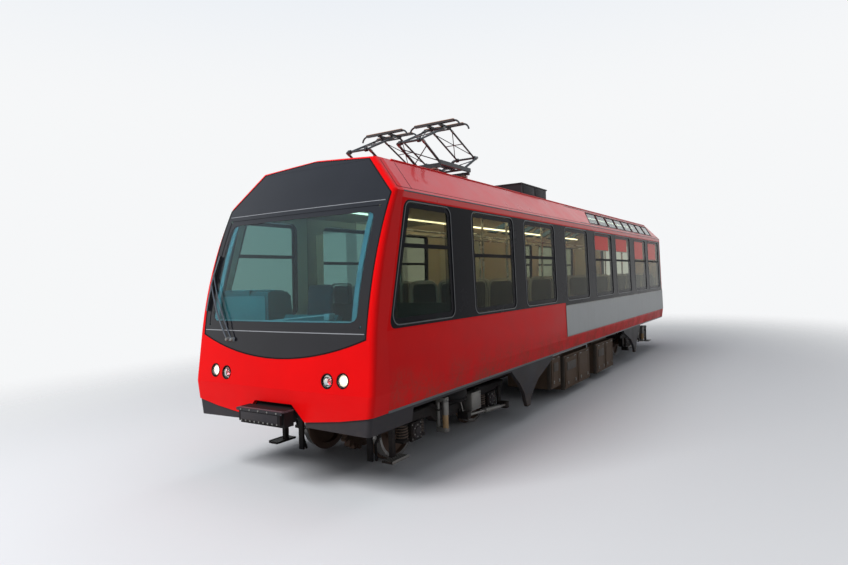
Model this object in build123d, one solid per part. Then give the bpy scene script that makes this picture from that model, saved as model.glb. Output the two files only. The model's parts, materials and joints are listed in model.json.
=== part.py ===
from build123d import *
import os
from math import acos, asin, atan2, cos, hypot, pi, radians, sin

os.makedirs("parts", exist_ok=True)

# One car of an electric rack railway, metre gauge, with a raked glass front, window bands,
# glazed roof edges, two four-wheel bogies with rack pinions and a pair of small pantographs.
# X runs across the car, Y along it with the cab towards -Y, and Z up from the lowest point
# of the wheel flanges. All sizes are in millimetres.

# Levels above the wheel flanges' lowest point
FLANGE_DEPTH = 28
RAIL_TOP = FLANGE_DEPTH
SILL = RAIL_TOP + 810

# Heights above the sill, the lower edge of the red side
CREASE = 200
BAND_LOW = 800
WINDOW_LOW = 857
WINDOW_HIGH = 2101
BAND_HIGH = 2150
CANTRAIL = 2220
SHOULDER = 2640
CROWN = 2700
FLOOR_TOP = 140
FLOOR_DEPTH = 120

# Half-widths
SILL_HALF = 1270
CREASE_HALF = 1300
CANTRAIL_HALF = 1250
SHOULDER_HALF = 850
GLASS_HALF = 1190

# Distances behind the cantrail's front corner
MIDDLE_BACK = 6210
REAR_BACK = 12940
BELLOWS_BACK = 13260
COUPLER_BACK = -840

WALL = 60
GLASS = 10
GAP = 3
# Side view of the front face on the middle line: height above the sill, distance back.
# An arc joins the third point to the fourth, tangent to the line below it.
NOSE_LINE = [(-400, -640), (200, -652), (730, -582), (2220, -105), (2800, 180)]
# Y of the upright axis about which the front's profile is turned
NOSE_AXIS = 22000
CORNER_RADIUS = 60
# The envelope of the front reaches this far back
FRONT_PART = 3000
# How far a section's upper corners move along the flatter side per millimetre of inset
CORNER_SHIFT = 0.42

# Side windows: front edge at the bottom, front edge at the top and rear edge, all behind the
# cantrail's front corner
WINDOWS = [
    ("w1", -250, 120, 1000),
    ("w2", 1530, 1530, 2760),
    ("w3", 3150, 3150, 4400),
    ("w4", 4920, 4920, 6180),
    ("w5", 6640, 6640, 7870),
    ("w6", 8190, 8190, 9440),
    ("w7", 9880, 9880, 11060),
    ("w8", 11370, 11370, 12650),
]
WINDOW_CORNER = 90
DOOR_WINDOW = "w4"

# Where the front shell ends and the side panels begin: distance back, height above the sill
NOSE_JOINT = [(-340, -400), (-340, BAND_LOW), (45, BAND_HIGH), (320, CROWN + 60)]

# Doorway on the hidden side
DOOR_FRONT = 4900
DOOR_REAR = 6200
DOOR_HIGH = 2050
DOOR_INSET = 74
DOOR_THICK = 34

# Running gear
GAUGE_HALF = 500
AXLE_RADIUS = 75
TREAD_RADIUS = 350
FLANGE_RADIUS = TREAD_RADIUS + FLANGE_DEPTH
AXLE_Z = FLANGE_RADIUS
BOGIES = [("front", 1700), ("rear", 11400)]
WHEELBASE_HALF = 975
SIDE_BEAM_X = 790
PINION_TEETH = 18
PINION_TIP = 318
PINION_ROOT = 258
PINION_WIDTH = 76
HUB_RADIUS = 118
HUB_FIT = 0.5
MOTOR_RADIUS = 185
MOTOR_BACK = 560

# Pantographs: twin diamonds side by side
PANTO_BACK = 2200
PANTO_HALF_GAP = 430
PANTO_BASE = 2845
PANTO_FOOT = 300
PANTO_HEAD_PIVOT = 60
PANTO_LOWER_ARM = 520
PANTO_UPPER_ARM = PANTO_LOWER_ARM + PANTO_FOOT - PANTO_HEAD_PIVOT
PANTO_ANGLE = 28


def back(distance):
    """Y of a point given as its distance behind the cantrail's front corner."""
    return distance - MIDDLE_BACK


def up(height):
    """Z of a point given as its height above the sill."""
    return SILL + height


def outline(points, radius=0):
    """A flat face with straight sides, its corners rounded where a radius is given."""
    face = make_face(Polyline(points, close=True))
    return fillet(face.vertices(), radius) if radius else face


def across(points, x_low, x_high, radius=0):
    """A prism along X; points are (y, z)."""
    return extrude(Plane.YZ.offset(x_low) * outline(points, radius), amount=x_high - x_low)


def along(points, y_low, y_high, radius=0):
    """A prism along Y; points are (x, z)."""
    return extrude(Plane.XZ.offset(-y_high) * outline(points, radius), amount=y_high - y_low)


def upright(points, z_low, z_high, radius=0):
    """A prism along Z; points are (x, y)."""
    return extrude(Plane.XY.offset(z_low) * outline(points, radius), amount=z_high - z_low)


def block(x_low, x_high, y_low, y_high, z_low, z_high):
    """A plain box between two corners."""
    return Pos((x_low + x_high) / 2, (y_low + y_high) / 2, (z_low + z_high) / 2) * Box(
        x_high - x_low, y_high - y_low, z_high - z_low
    )


def rod(start, end, radius):
    """A round bar between two points."""
    span = Vector(*end) - Vector(*start)
    return extrude(Plane(origin=start, z_dir=span) * Circle(radius), amount=span.length)


def both_sides(shape):
    """A piece and its mirror image on the other side of the car."""
    return [shape, mirror(shape, about=Plane.YZ)]


def solids_of(shapes):
    """Every solid in a list of shapes."""
    return [solid for shape in shapes for solid in shape.solids()]


def save(name, *shapes):
    """Write one node, which holds the given solids."""
    solids = solids_of(shapes)
    whole = solids[0] if len(solids) == 1 else Compound(solids)
    export_step(whole, f"parts/{name}.step")


def side_half(height):
    """Half-width of the side at a height above the sill."""
    if height < CREASE:
        return SILL_HALF + (CREASE_HALF - SILL_HALF) * height / CREASE
    return CREASE_HALF + (CANTRAIL_HALF - CREASE_HALF) * (height - CREASE) / (CANTRAIL - CREASE)


def side_section(low, high, inset=0, thick=WALL):
    """Section of a side skin between two heights, as (x, z) points."""
    heights = [low, CREASE, high] if low < CREASE < high else [low, high]
    outer = [(side_half(h) - inset, up(h)) for h in heights]
    inner = [(x - thick, z) for x, z in reversed(outer)]
    return outer + inner


def body_section(inset):
    """The whole body section with its bottom open, moved in by an inset."""
    skirt = -400
    right = [
        (side_half(skirt) - inset, up(skirt)),
        (CREASE_HALF - inset, up(CREASE)),
        (CANTRAIL_HALF - inset, up(CANTRAIL) - CORNER_SHIFT * inset),
        (SHOULDER_HALF - CORNER_SHIFT * inset, up(SHOULDER) - inset),
        (0, up(CROWN) - inset),
    ]
    left = [(-x, z) for x, z in reversed(right[:-1])]
    return right + left


def nose_profile(inset):
    """Solid behind the front face: a profile of lines and one arc, turned about a far axis."""
    y_axis = NOSE_AXIS
    _, chin, brow, _, _ = NOSE_LINE
    points = [(back(d) + inset, up(h)) for h, d in NOSE_LINE]
    points[3] = (points[3][0], points[3][1] - CORNER_SHIFT * inset)
    face = make_face(
        Polyline(points[0], points[1], points[2])
        + TangentArc(points[2], points[3], tangent=(brow[1] - chin[1], brow[0] - chin[0]))
        + Line(points[3], points[4])
        + Polyline(points[4], (y_axis, points[4][1]), (y_axis, points[0][1]), points[0])
    )
    sector = 9
    turned = revolve(
        Plane.YZ * face, axis=Axis((0, y_axis, 0), (0, 0, 1)), revolution_arc=sector
    )
    return turned.rotate(Axis((0, y_axis, 0), (0, 0, 1)), -sector / 2)


def front_y(height, x=0):
    """Y of the front face at a height above the sill and a distance from the middle."""
    arc_low, arc_high = NOSE_LINE[2], NOSE_LINE[3]
    if arc_low[0] < height < arc_high[0]:
        rise, run = arc_high[0] - arc_low[0], arc_high[1] - arc_low[1]
        start = atan2(arc_low[1] - NOSE_LINE[1][1], arc_low[0] - NOSE_LINE[1][0])
        turn = 2 * (atan2(run, rise) - start)
        radius = hypot(rise, run) / (2 * sin(turn / 2))
        lean = asin((height - arc_low[0]) / radius + sin(start))
        y_middle = back(arc_low[1] + radius * (cos(start) - cos(lean)))
    else:
        pair = [row for row in zip(NOSE_LINE, NOSE_LINE[1:]) if row[0][0] <= height <= row[1][0]][0]
        share = (height - pair[0][0]) / (pair[1][0] - pair[0][0])
        y_middle = back(pair[0][1] + share * (pair[1][1] - pair[0][1]))
    reach = NOSE_AXIS - y_middle
    return NOSE_AXIS - (reach**2 - x**2) ** 0.5


front_space = across(
    [
        (back(-1500), up(-900)), (back(FRONT_PART), up(-900)),
        (back(FRONT_PART), up(3200)), (back(-1500), up(3200)),
    ],
    -1500, 1500,
)


def front_corners(shape):
    """Edges where the front face meets the sides, the bevels and the roof."""
    found = []
    for edge in shape.edges():
        middle = edge.center()
        height = middle.Z - SILL
        if NOSE_LINE[0][0] < height < NOSE_LINE[-1][0] and middle.Y < back(500):
            near = abs(middle.Y - front_y(height, middle.X)) < 90
            if near and (abs(middle.X) > 1000 or height > CROWN - 100):
                found.append(edge)
    return found


def envelope(inset):
    """The outside of the body's front part, moved in by an inset. Skins near the outside have
    their front corners rounded."""
    prism = along(body_section(inset), back(-1200), back(REAR_BACK) + inset)
    shaped = (prism & nose_profile(inset)) & front_space
    if inset < CORNER_RADIUS / 2:
        shaped = fillet(front_corners(shaped), CORNER_RADIUS - inset)
    return shaped


def window_cutter(front_low, front_high, rear, shrink, x_low, x_high, top=WINDOW_HIGH):
    """A window's opening as a prism across one side wall."""
    points = [
        (back(front_low) + shrink, up(WINDOW_LOW) + shrink),
        (back(rear) - shrink, up(WINDOW_LOW) + shrink),
        (back(rear) - shrink, up(top) - shrink),
        (back(front_high) + shrink, up(top) - shrink),
    ]
    return across(points, x_low, x_high, WINDOW_CORNER - shrink)


# Front shell
NOSE_REGION = [(back(d), up(h)) for d, h in NOSE_JOINT]
NOSE_REGION += [(back(-1300), up(CROWN + 60)), (back(-1300), up(-400))]
nose_space = across(NOSE_REGION, -1500, 1500)

# Front view of the lower edge, from the corner to the middle: half-width, height above the sill
NOSE_FOOT = [(1400, 0), (1260, 0), (900, -60), (440, -112), (270, 55)]
# Front view of the black field's edge: half-width, height above the sill
MASK_EDGE = [(GLASS_HALF, 735), (GLASS_HALF + 18, 2190), (800, 2610)]
MASK_SMILE_LOW = 512
SCREEN = [(1120, 840), (1130, 2060)]


def front_prism(half_points, y_low=back(-1300), y_high=back(400)):
    """A symmetric prism along Y from half an outline, given as (x, height above the sill)."""
    right = [(x, up(h)) for x, h in half_points]
    left = [(-x, z) for x, z in reversed(right)]
    return along(right + left, y_low, y_high)


def mask_prism():
    """The black field of the front: straight sides, cut shoulders and a curved lower edge."""
    corner = MASK_EDGE[0]
    rise = [(x, up(h)) for x, h in MASK_EDGE]
    top = [(-x, z) for x, z in reversed(rise)]
    edge = Polyline(*rise, *top) + ThreePointArc(
        (-corner[0], up(corner[1])), (0, up(MASK_SMILE_LOW)), (corner[0], up(corner[1]))
    )
    return extrude(Plane.XZ.offset(-back(400)) * make_face(edge), amount=1700)


front_skin = (envelope(0) - envelope(WALL)) & nose_space
foot_cut = along(
    [(x, up(h)) for x, h in NOSE_FOOT]
    + [(-x, up(h)) for x, h in reversed(NOSE_FOOT)]
    + [(-1400, up(-600)), (1400, up(-600))],
    back(-1300),
    back(400),
)
front_skin = front_skin - foot_cut
mask = mask_prism()
screen = front_prism(SCREEN)
outer_skin = (envelope(0) - envelope(22)) & nose_space

# Lamps: side offset, height above the sill, radius of the opening
LAMPS = [("head", 940, 335, 74), ("tail", 745, 322, 74)]
lamp_holes = [
    Pos(side * x, back(-400), up(h)) * Rot(90, 0, 0) * Cylinder(r + GAP, 900)
    for _, x, h, r in LAMPS
    for side in (1, -1)
]
nose_shell = front_skin - mask
for hole in lamp_holes:
    nose_shell = nose_shell - hole
save("nose_shell", nose_shell)

front_mask = (outer_skin & mask) - screen
save("front_mask", front_mask)
save("windscreen", ((envelope(6) - envelope(6 + GLASS)) & nose_space) & front_prism(
    [(x - GAP, h + (GAP if h < 1000 else -GAP)) for x, h in SCREEN]
))

for name, x, h, r in LAMPS:
    depth = 70
    lamp = Pos(x, back(-560), up(h)) * Rot(90, 0, 0) * Cylinder(r, 300)
    lamp = lamp & (envelope(4) - envelope(4 + depth))
    save(f"{name}_lamps", *both_sides(lamp))

# Side walls
y_rear = back(REAR_BACK - WALL)


def side_panel(low, high):
    """One side panel on the right, from the front joint to the rear wall."""
    return along(side_section(low, high), back(-600), y_rear) - nose_space


doorway = block(-1500, -1000, back(DOOR_FRONT), back(DOOR_REAR), up(FLOOR_TOP), up(DOOR_HIGH))

for side, sign in (("right", 1), ("left", -1)):
    lower = side_panel(0, BAND_LOW)
    band = side_panel(BAND_LOW, BAND_HIGH)
    for name, front_low, front_high, rear in WINDOWS:
        if sign < 0 and name == DOOR_WINDOW:
            continue
        band = band - window_cutter(front_low, front_high, rear, 0, 1000, 1500)
    if sign < 0:
        lower = mirror(lower, about=Plane.YZ) - doorway
        band = mirror(band, about=Plane.YZ) - doorway
    save(f"lower_wall_{side}", lower)
    save(f"window_band_{side}", band)

panes = []
for name, front_low, front_high, rear in WINDOWS:
    pane = along(side_section(BAND_LOW, BAND_HIGH, 8, GLASS), back(-600), y_rear)
    pane = pane & window_cutter(front_low, front_high, rear, GAP, 1000, 1500)
    panes += [pane] if name == DOOR_WINDOW else both_sides(pane)
save("side_glass", *panes)

# Roof edges: solid at the front, glazed behind, with a slanted first bar
COVE_PANES = 8
COVE_FRONT = 6600
COVE_REAR = 12800
COVE_SLANT = 550
COVE_BAR = 60
COVE_MARGIN = 70


def cove_section(inset, thick):
    """Section of the sloping roof edge with the strip below it, as (x, z) points."""
    k = CORNER_SHIFT
    outer = [
        (side_half(BAND_HIGH) - inset, up(BAND_HIGH)),
        (CANTRAIL_HALF - inset, up(CANTRAIL) - k * inset),
        (SHOULDER_HALF - k * inset, up(SHOULDER) - inset),
    ]
    deep = inset + thick
    inner = [
        (SHOULDER_HALF - k * deep, up(SHOULDER) - deep),
        (CANTRAIL_HALF - deep, up(CANTRAIL) - k * deep),
        (side_half(BAND_HIGH) - deep, up(BAND_HIGH)),
    ]
    return outer + inner


def cove_openings(shrink):
    """Cutters for the roof-edge panes, drawn in plan and slanted like the bars."""
    x_low = SHOULDER_HALF + COVE_MARGIN
    x_high = CANTRAIL_HALF - COVE_MARGIN
    pitch = (COVE_REAR - COVE_FRONT - COVE_SLANT) / COVE_PANES
    cutters = []
    slope = COVE_SLANT / (x_high - x_low)
    margin = shrink * hypot(1, slope)
    for index in range(COVE_PANES):
        front = COVE_FRONT + index * pitch + COVE_BAR / 2 + margin
        rear = COVE_FRONT + (index + 1) * pitch - COVE_BAR / 2 - margin
        points = [
            (x_high - shrink, back(front + slope * shrink)),
            (x_high - shrink, back(rear + slope * shrink)),
            (x_low + shrink, back(rear + COVE_SLANT - slope * shrink)),
            (x_low + shrink, back(front + COVE_SLANT - slope * shrink)),
        ]
        cutters.append(upright(points, up(CANTRAIL - 200), up(SHOULDER + 200)))
    return cutters


cove = along(cove_section(0, WALL - 10), back(-600), y_rear) - nose_space
for cutter in cove_openings(0):
    cove = cove - cutter
save("roof_edge_right", cove)
save("roof_edge_left", mirror(cove, about=Plane.YZ))
cove_glass = along(cove_section(6, GLASS), back(-600), y_rear)
save("roof_edge_glass", *[
    piece for cutter in cove_openings(GAP) for piece in both_sides(cove_glass & cutter)
])

roof_section = [(SHOULDER_HALF, up(SHOULDER)), (0, up(CROWN)), (-SHOULDER_HALF, up(SHOULDER))]
roof_inner = [
    (-(SHOULDER_HALF - 21), up(SHOULDER) - 50),
    (0, up(CROWN) - 50),
    (SHOULDER_HALF - 21, up(SHOULDER) - 50),
]
save("roof_panel", along(roof_section + roof_inner, back(-200), y_rear) - nose_space)

# Rear wall with the gangway doorway, and the bellows behind it
GANGWAY_HALF = 430
GANGWAY_HIGH = 2080
wall_section = body_section(0)
wall_section[0] = (SILL_HALF, up(0))
wall_section[-1] = (-SILL_HALF, up(0))
rear_wall = along(wall_section, y_rear, back(REAR_BACK))
gangway_hole = block(
    -GANGWAY_HALF, GANGWAY_HALF, y_rear - 50, back(REAR_BACK) + 50, up(FLOOR_TOP), up(GANGWAY_HIGH)
)
save("rear_wall", rear_wall - gangway_hole)

BELLOWS_FOLDS = 4
BELLOWS_OUT = 150
BELLOWS_VALLEY = 50
BELLOWS_RIDGE_SHARE = 0.6
BELLOWS_FLOOR = FLOOR_TOP - 20
fold = (BELLOWS_BACK - REAR_BACK) / BELLOWS_FOLDS
bellows = None
for index in range(BELLOWS_FOLDS):
    y_low = back(REAR_BACK) + index * fold
    ridge_half = GANGWAY_HALF + BELLOWS_OUT
    ridge_high = GANGWAY_HIGH + BELLOWS_OUT
    ridge = block(
        -ridge_half, ridge_half, y_low, y_low + fold * BELLOWS_RIDGE_SHARE, up(0), up(ridge_high)
    )
    neck = block(
        -ridge_half + BELLOWS_VALLEY, ridge_half - BELLOWS_VALLEY, y_low, y_low + fold,
        up(BELLOWS_VALLEY - 10), up(ridge_high - BELLOWS_VALLEY),
    )
    piece = ridge + neck
    bellows = piece if bellows is None else bellows + piece


def bellows_side(x_low, x_high, z_low, z_high):
    """The part of the bellows between four planes, over its whole length."""
    return bellows & block(x_low, x_high, back(REAR_BACK) - 50, back(BELLOWS_BACK) + 50, z_low, z_high)


lintel_half = GANGWAY_HALF - GAP
save(
    "gangway_bellows",
    *both_sides(bellows_side(GANGWAY_HALF, 1000, up(-100), up(3000))),
    bellows_side(-lintel_half, lintel_half, up(GANGWAY_HIGH), up(3000)),
    bellows_side(-lintel_half, lintel_half, up(-100), up(BELLOWS_FLOOR)),
)

# Underframe: floor plate, solebars, cross bearers and the two bogie bearing plates
floor_half = side_half(FLOOR_TOP) - WALL - 40
floor_low = FLOOR_TOP - FLOOR_DEPTH
underframe = block(
    -floor_half, floor_half, back(-420), y_rear, up(floor_low), up(FLOOR_TOP)
)
solebar_low = -60
PAD_BACK = 3340
PAD_SIZE = 160
PAD_DEPTH = 20
for side in (1, -1):
    x_low, x_high = min(side * 950, side * 1090), max(side * 950, side * 1090)
    underframe += block(x_low, x_high, back(3300), back(9800), up(solebar_low), up(floor_low))
    underframe += block(
        side * 1020 - PAD_SIZE / 2, side * 1020 + PAD_SIZE / 2,
        back(PAD_BACK), back(PAD_BACK + PAD_SIZE), up(solebar_low - PAD_DEPTH), up(solebar_low),
    )
for station in (3300, 4600, 6560, 8400, 9700):
    underframe += block(
        -1090, 1090, back(station), back(station + 100), up(solebar_low), up(floor_low)
    )
DRAWBAR_HEAD = (12640, 12740)
underframe += block(
    -180, 180, back(DRAWBAR_HEAD[0]), back(DRAWBAR_HEAD[1]), up(-120), up(floor_low)
)
save("underframe", underframe)

# Partition behind the cab, with a doorway
partition = along(
    [(x, z) for x, z in body_section(WALL + 4)], back(1190), back(1230)
)
partition = partition & block(
    -1400, 1400, back(1100), back(1300), up(FLOOR_TOP), up(CROWN)
)
partition = partition - block(-330, 330, back(1100), back(1300), up(FLOOR_TOP), up(2080))
partition = partition - block(480, 1060, back(1100), back(1300), up(1000), up(1960))
partition = partition - block(-1060, -480, back(1100), back(1300), up(1000), up(1960))
save("cab_partition", partition)

# Driver's desk and seat
desk = across(
    [
        (back(-330), up(FLOOR_TOP)), (back(-60), up(FLOOR_TOP)), (back(-20), up(700)),
        (back(90), up(740)), (back(70), up(800)), (back(-160), up(860)),
        (back(-300), up(860)), (back(-400), up(760)),
    ],
    -1150, 1150,
)
console = across(
    [
        (back(-420), up(850)), (back(-20), up(800)), (back(-50), up(1150)), (back(-110), up(1200)),
        (back(-420), up(1225)),
    ],
    -1150, -560,
)
ledge = across(
    [
        (back(-380), up(850)), (back(-250), up(850)), (back(-230), up(925)), (back(-300), up(950)),
    ],
    -120, 640,
)
save("driver_desk", (desk + console + ledge) & envelope(WALL + 6))
driver_seat = (
    Pos(-700, back(620), up(FLOOR_TOP + 20)) * Cylinder(170, 40)
    + Pos(-700, back(620), up(FLOOR_TOP + 210)) * Cylinder(45, 420)
    + block(-930, -470, back(390), back(850), up(FLOOR_TOP + 400), up(FLOOR_TOP + 500))
    + across(
        [
            (back(790), up(FLOOR_TOP + 440)), (back(890), up(FLOOR_TOP + 440)),
            (back(960), up(FLOOR_TOP + 1100)), (back(880), up(FLOOR_TOP + 1100)),
        ],
        -920, -480,
    )
)
save("driver_seat", driver_seat)

# Passenger seats: distance back of the seat's hip line and which way it faces
SEAT_ROWS = [
    (1700, 1), (2965, -1), (3245, 1), (4560, -1),
    (6700, 1), (7965, -1), (8245, 1), (9510, -1),
    (9790, 1), (11055, -1), (11335, 1), (12600, -1),
]
SEAT_INNER = 270
SEAT_OUTER = 1130
SEAT_GAP = 20
SEAT_CUSHION = [(10, 362), (440, 380), (456, 425), (438, 452), (10, 446)]
SEAT_BACK = [(-62, 372), (6, 372), (6, 560), (-58, 1092), (-122, 1100)]
HOOP_WIDE = 20
HOOP_DEEP = 26
HOOP_LEAN = 5
HOOP_BEHIND = 46
HOOP_FIT = HOOP_WIDE + GAP
HOOP_SPAN = (332, 1132)
HOOP_RADIUS = 90
RUNNER = (332, 356)


def arch(x_low, x_high, inset):
    """Outline of a seat back's frame with rounded top corners, moved in by an inset."""
    top = HOOP_SPAN[1] - HOOP_SPAN[0]
    face = outline([
        (x_low + inset, -inset), (x_high - inset, -inset),
        (x_high - inset, top - inset), (x_low + inset, top - inset),
    ])
    return fillet(face.vertices().sort_by(Axis.Y)[-2:], HOOP_RADIUS - inset)


def rest_plane(hip, facing):
    """The leaning plane in which one row's seat backs lie."""
    lean = radians(HOOP_LEAN)
    return Plane(
        origin=(0, back(hip - facing * HOOP_BEHIND), up(FLOOR_TOP + HOOP_SPAN[0])),
        x_dir=(1, 0, 0),
        z_dir=(0, -cos(lean), -facing * sin(lean)),
    )


def hoop(x_low, x_high, hip, facing):
    """The bent frame round one seat back, leaning with it."""
    ring = arch(x_low, x_high, 0) - arch(x_low, x_high, HOOP_WIDE)
    return extrude(rest_plane(hip, facing) * ring, amount=HOOP_DEEP / 2, both=True)


def seat(x_low, x_high, hip, facing):
    """One seat place: a cushion and a reclined back that fits in its frame. The profiles'
    points are (ahead of the hip, height)."""
    base = up(FLOOR_TOP)
    ends = (x_low + HOOP_FIT, x_high - HOOP_FIT)
    cushion, rest = [
        across([(back(hip + facing * d), base + h) for d, h in points], *ends)
        for points in (SEAT_CUSHION, SEAT_BACK)
    ]
    inside = rest_plane(hip, facing) * arch(x_low, x_high, HOOP_FIT)
    return [cushion, rest & extrude(inside, amount=300, both=True)]


middle = (SEAT_INNER + SEAT_OUTER) / 2
SEAT_PLACES = [(SEAT_INNER, middle - SEAT_GAP / 2), (middle + SEAT_GAP / 2, SEAT_OUTER)]
seats = []
frames = []
for hip, facing in SEAT_ROWS:
    y_leg = back(hip + facing * 200)
    frame = block(SEAT_INNER, SEAT_OUTER, y_leg - 90, y_leg + 90,
                  up(FLOOR_TOP + 300), up(FLOOR_TOP + RUNNER[1]))
    frame += block(SEAT_INNER + 160, SEAT_INNER + 220, y_leg - 80, y_leg + 80,
                   up(FLOOR_TOP), up(FLOOR_TOP + 300))
    y_ends = sorted([back(hip - facing * (HOOP_BEHIND + HOOP_DEEP / 2)), y_leg])
    for x_low, x_high in SEAT_PLACES:
        seats += seat(x_low, x_high, hip, facing)
        frame += hoop(x_low, x_high, hip, facing)
        for x in (x_low, x_high - HOOP_WIDE):
            frame += block(
                x, x + HOOP_WIDE, *y_ends, up(FLOOR_TOP + RUNNER[0]), up(FLOOR_TOP + RUNNER[1])
            )
    frames.append(frame)
save("passenger_seats", *[piece for seat_part in seats for piece in both_sides(seat_part)])
save("seat_frames", *[piece for frame_part in frames for piece in both_sides(frame_part)])

# Handrails under the ceiling with posts down to the floor
RAIL_X = 240
RAIL_HIGH = 1960
POSTS = [1420, 4760, 6440, 12720]
rails = rod(
    (RAIL_X, back(POSTS[0]), up(RAIL_HIGH)), (RAIL_X, back(POSTS[-1]), up(RAIL_HIGH)), 15
)
for station in POSTS:
    rails += rod((RAIL_X, back(station), up(FLOOR_TOP)), (RAIL_X, back(station), up(2560)), 21)
save("handrails", *both_sides(rails))

# Draught screens on both sides of the doorway, clear of the leaves that slide behind the wall
SCREEN_INNER = 290
SCREEN_CLEAR = 122
SCREEN_THICK = 30
SCREEN_HEIGHTS = [FLOOR_TOP, CREASE, 2080]
screen_edge = [(-(side_half(h) - SCREEN_CLEAR), up(h)) for h in SCREEN_HEIGHTS]
screen_outline = screen_edge + [(-SCREEN_INNER, up(2080)), (-SCREEN_INNER, up(FLOOR_TOP))]
save("draught_screens", *[
    along(screen_outline, back(front), back(front + SCREEN_THICK)) for front in (4700, 6470)
])

# Ceiling light strips and roller blinds
light = block(560, 660, back(1300), back(12700), up(2560), up(2590))
save("ceiling_lights", *both_sides(light))
BLINDS = [("w5", 330), ("w6", 330), ("w7", 480), ("w8", 480)]
blinds = []
table = {name: (front, rear) for name, front, _, rear in WINDOWS}
for name, drop in BLINDS:
    front, rear = table[name]
    cloth = along(
        side_section(WINDOW_HIGH - drop, WINDOW_HIGH + 20, WALL + 6, 8),
        back(front + 20), back(rear - 20),
    )
    blinds.append(cloth)
save("roller_blinds", *blinds)

# Pale panel along the lower side
PANEL = [4800, 12930, 240, 761]
panel = along(side_section(PANEL[2], PANEL[3], -6, 5), back(PANEL[0]), back(PANEL[1]))
panel_left = mirror(
    along(side_section(PANEL[2], PANEL[3], -6, 5), back(6320), back(PANEL[1])), about=Plane.YZ
)
save("side_panels", panel, panel_left)

# Dark valance below the front shell and along the sides to the bogie
valance_skin = envelope(14) - envelope(14 + 40)
valance_space = across(
    [
        (back(-1300), up(-600)), (back(130), up(-600)), (back(130), up(-42)),
        (back(2660), up(-42)), (back(2660), up(-4)), (back(-345), up(-4)),
        (back(-345), up(20)), (back(-1300), up(20)),
    ],
    -1500, 1500,
)
valance_low = along(
    [(1500, up(-200)), (1290, up(-190)), (900, up(-178)), (440, up(-165)), (440, up(100)),
     (-440, up(100)), (-440, up(-165)), (-900, up(-178)), (-1290, up(-190)), (-1500, up(-200)),
     (-1500, up(-800)), (1500, up(-800))],
    back(-1300), back(3000),
)
valance = (valance_skin & valance_space) - valance_low - front_skin - nose_shell
save("valance", valance)

# Front coupler box with its shelf and shank
coupler = block(-320, 320, back(-800), back(-670), up(-150), up(20))
coupler += block(-300, 300, back(COUPLER_BACK), back(-800), up(-120), up(5))
coupler += block(-255, 255, back(-670), back(-560), up(-140), up(14))
coupler += block(-110, 110, back(-560), back(-100), up(-120), up(-20))
coupler += block(-180, 180, back(-150), back(-60), up(-140), up(floor_low))
save("front_coupler", coupler)
EYE_RADIUS = 25
EYE_BACK = 13180
drawbar = block(-70, 70, back(DRAWBAR_HEAD[1]), back(EYE_BACK), up(-90), up(-20))
drawbar += Pos(0, back(EYE_BACK), up(-55)) * Cylinder(75, 70)
drawbar -= Pos(0, back(EYE_BACK), up(-55)) * Cylinder(EYE_RADIUS, 200)
save("rear_drawbar", drawbar)

# Skirt brackets with their arched edge beside each bogie
BRACKET = [
    (2660, -4), (2660, -60), (2920, -250), (3080, -420), (3120, -530), (3180, -640), (3290, -640),
    (3320, -540), (3450, -420), (3640, -290), (4220, -90), (4300, -4),
]
brackets = []
for name, centre in BOGIES:
    sign = 1 if name == "front" else -1
    points = [
        (back(centre + sign * (d - BOGIES[0][1])), up(h)) for d, h in BRACKET
    ]
    brackets += both_sides(across(points, 1170, 1225))
save("skirt_brackets", *brackets)

# Cases hung under the floor: front, rear, bottom, top, inner and outer half-width
DOOR_PROUD = 12
CASES = [
    (4400, 4860, -610, -70, 350, 1130),
    (4920, 6330, -700, -120, 350, 1180),
    (6800, 8000, -700, -120, 350, 1180),
]
cases = []
for front, rear, low, high, inner, outer in CASES:
    case = block(inner, outer, back(front), back(rear), up(low), up(high))
    case += block(outer - 200, outer - 120, back(front + 60), back(rear - 60), up(high),
                  up(solebar_low))
    doors = 2 if rear - front > 1000 else 1
    pitch = (rear - front) / doors
    for index in range(doors):
        case += block(
            outer - 1, outer + DOOR_PROUD, back(front + index * pitch + 25),
            back(front + (index + 1) * pitch - 25), up(low + 30), up(high - 35),
        )
    cases += both_sides(case)
save("underfloor_cases", *cases)

# Roof equipment
box_low = 2612
roof_box = block(-800, 800, back(4180), back(5300), up(2660), up(2830))
roof_box = roof_box - along(
    [(SHOULDER_HALF, up(SHOULDER)), (0, up(CROWN)), (-SHOULDER_HALF, up(SHOULDER)),
     (-SHOULDER_HALF, up(box_low - 60)), (SHOULDER_HALF, up(box_low - 60))],
    back(4000), back(5500),
)
roof_box += block(-815, 815, back(4165), back(5315), up(2822), up(2842))
DOME_RADIUS = 120
DOME_SPHERE = 169
DOME_PLACE = (420, back(3300))
dome = Pos(*DOME_PLACE, up(2680)) * Cylinder(DOME_RADIUS, 90)
cap = Pos(*DOME_PLACE, up(2606)) * Sphere(DOME_SPHERE)
dome += cap & Pos(*DOME_PLACE, up(2760)) * Cylinder(DOME_RADIUS, 90)
dome = dome - along(
    [(SHOULDER_HALF, up(SHOULDER)), (0, up(CROWN)), (-SHOULDER_HALF, up(SHOULDER)),
     (-SHOULDER_HALF, up(box_low - 60)), (SHOULDER_HALF, up(box_low - 60))],
    back(3000), back(3600),
)
save("roof_equipment", roof_box, dome)

# Wiper: two parallel arms on a pivot box, and a blade across their tips.
# Points are (x, height above the sill), held just off the glass.
WIPER_ARMS = [((-745, 700), (-1148, 1300), 9), ((-670, 700), (-1136, 1400), 7)]
WIPER_BLADE = ((-1168, 1000), (-1124, 1640), 10)
WIPER_STAND = 28


def on_screen(point, stand):
    """A point of the front view, placed a little in front of the screen."""
    x, height = point
    return (x, front_y(height, x) - stand, up(height))


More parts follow.
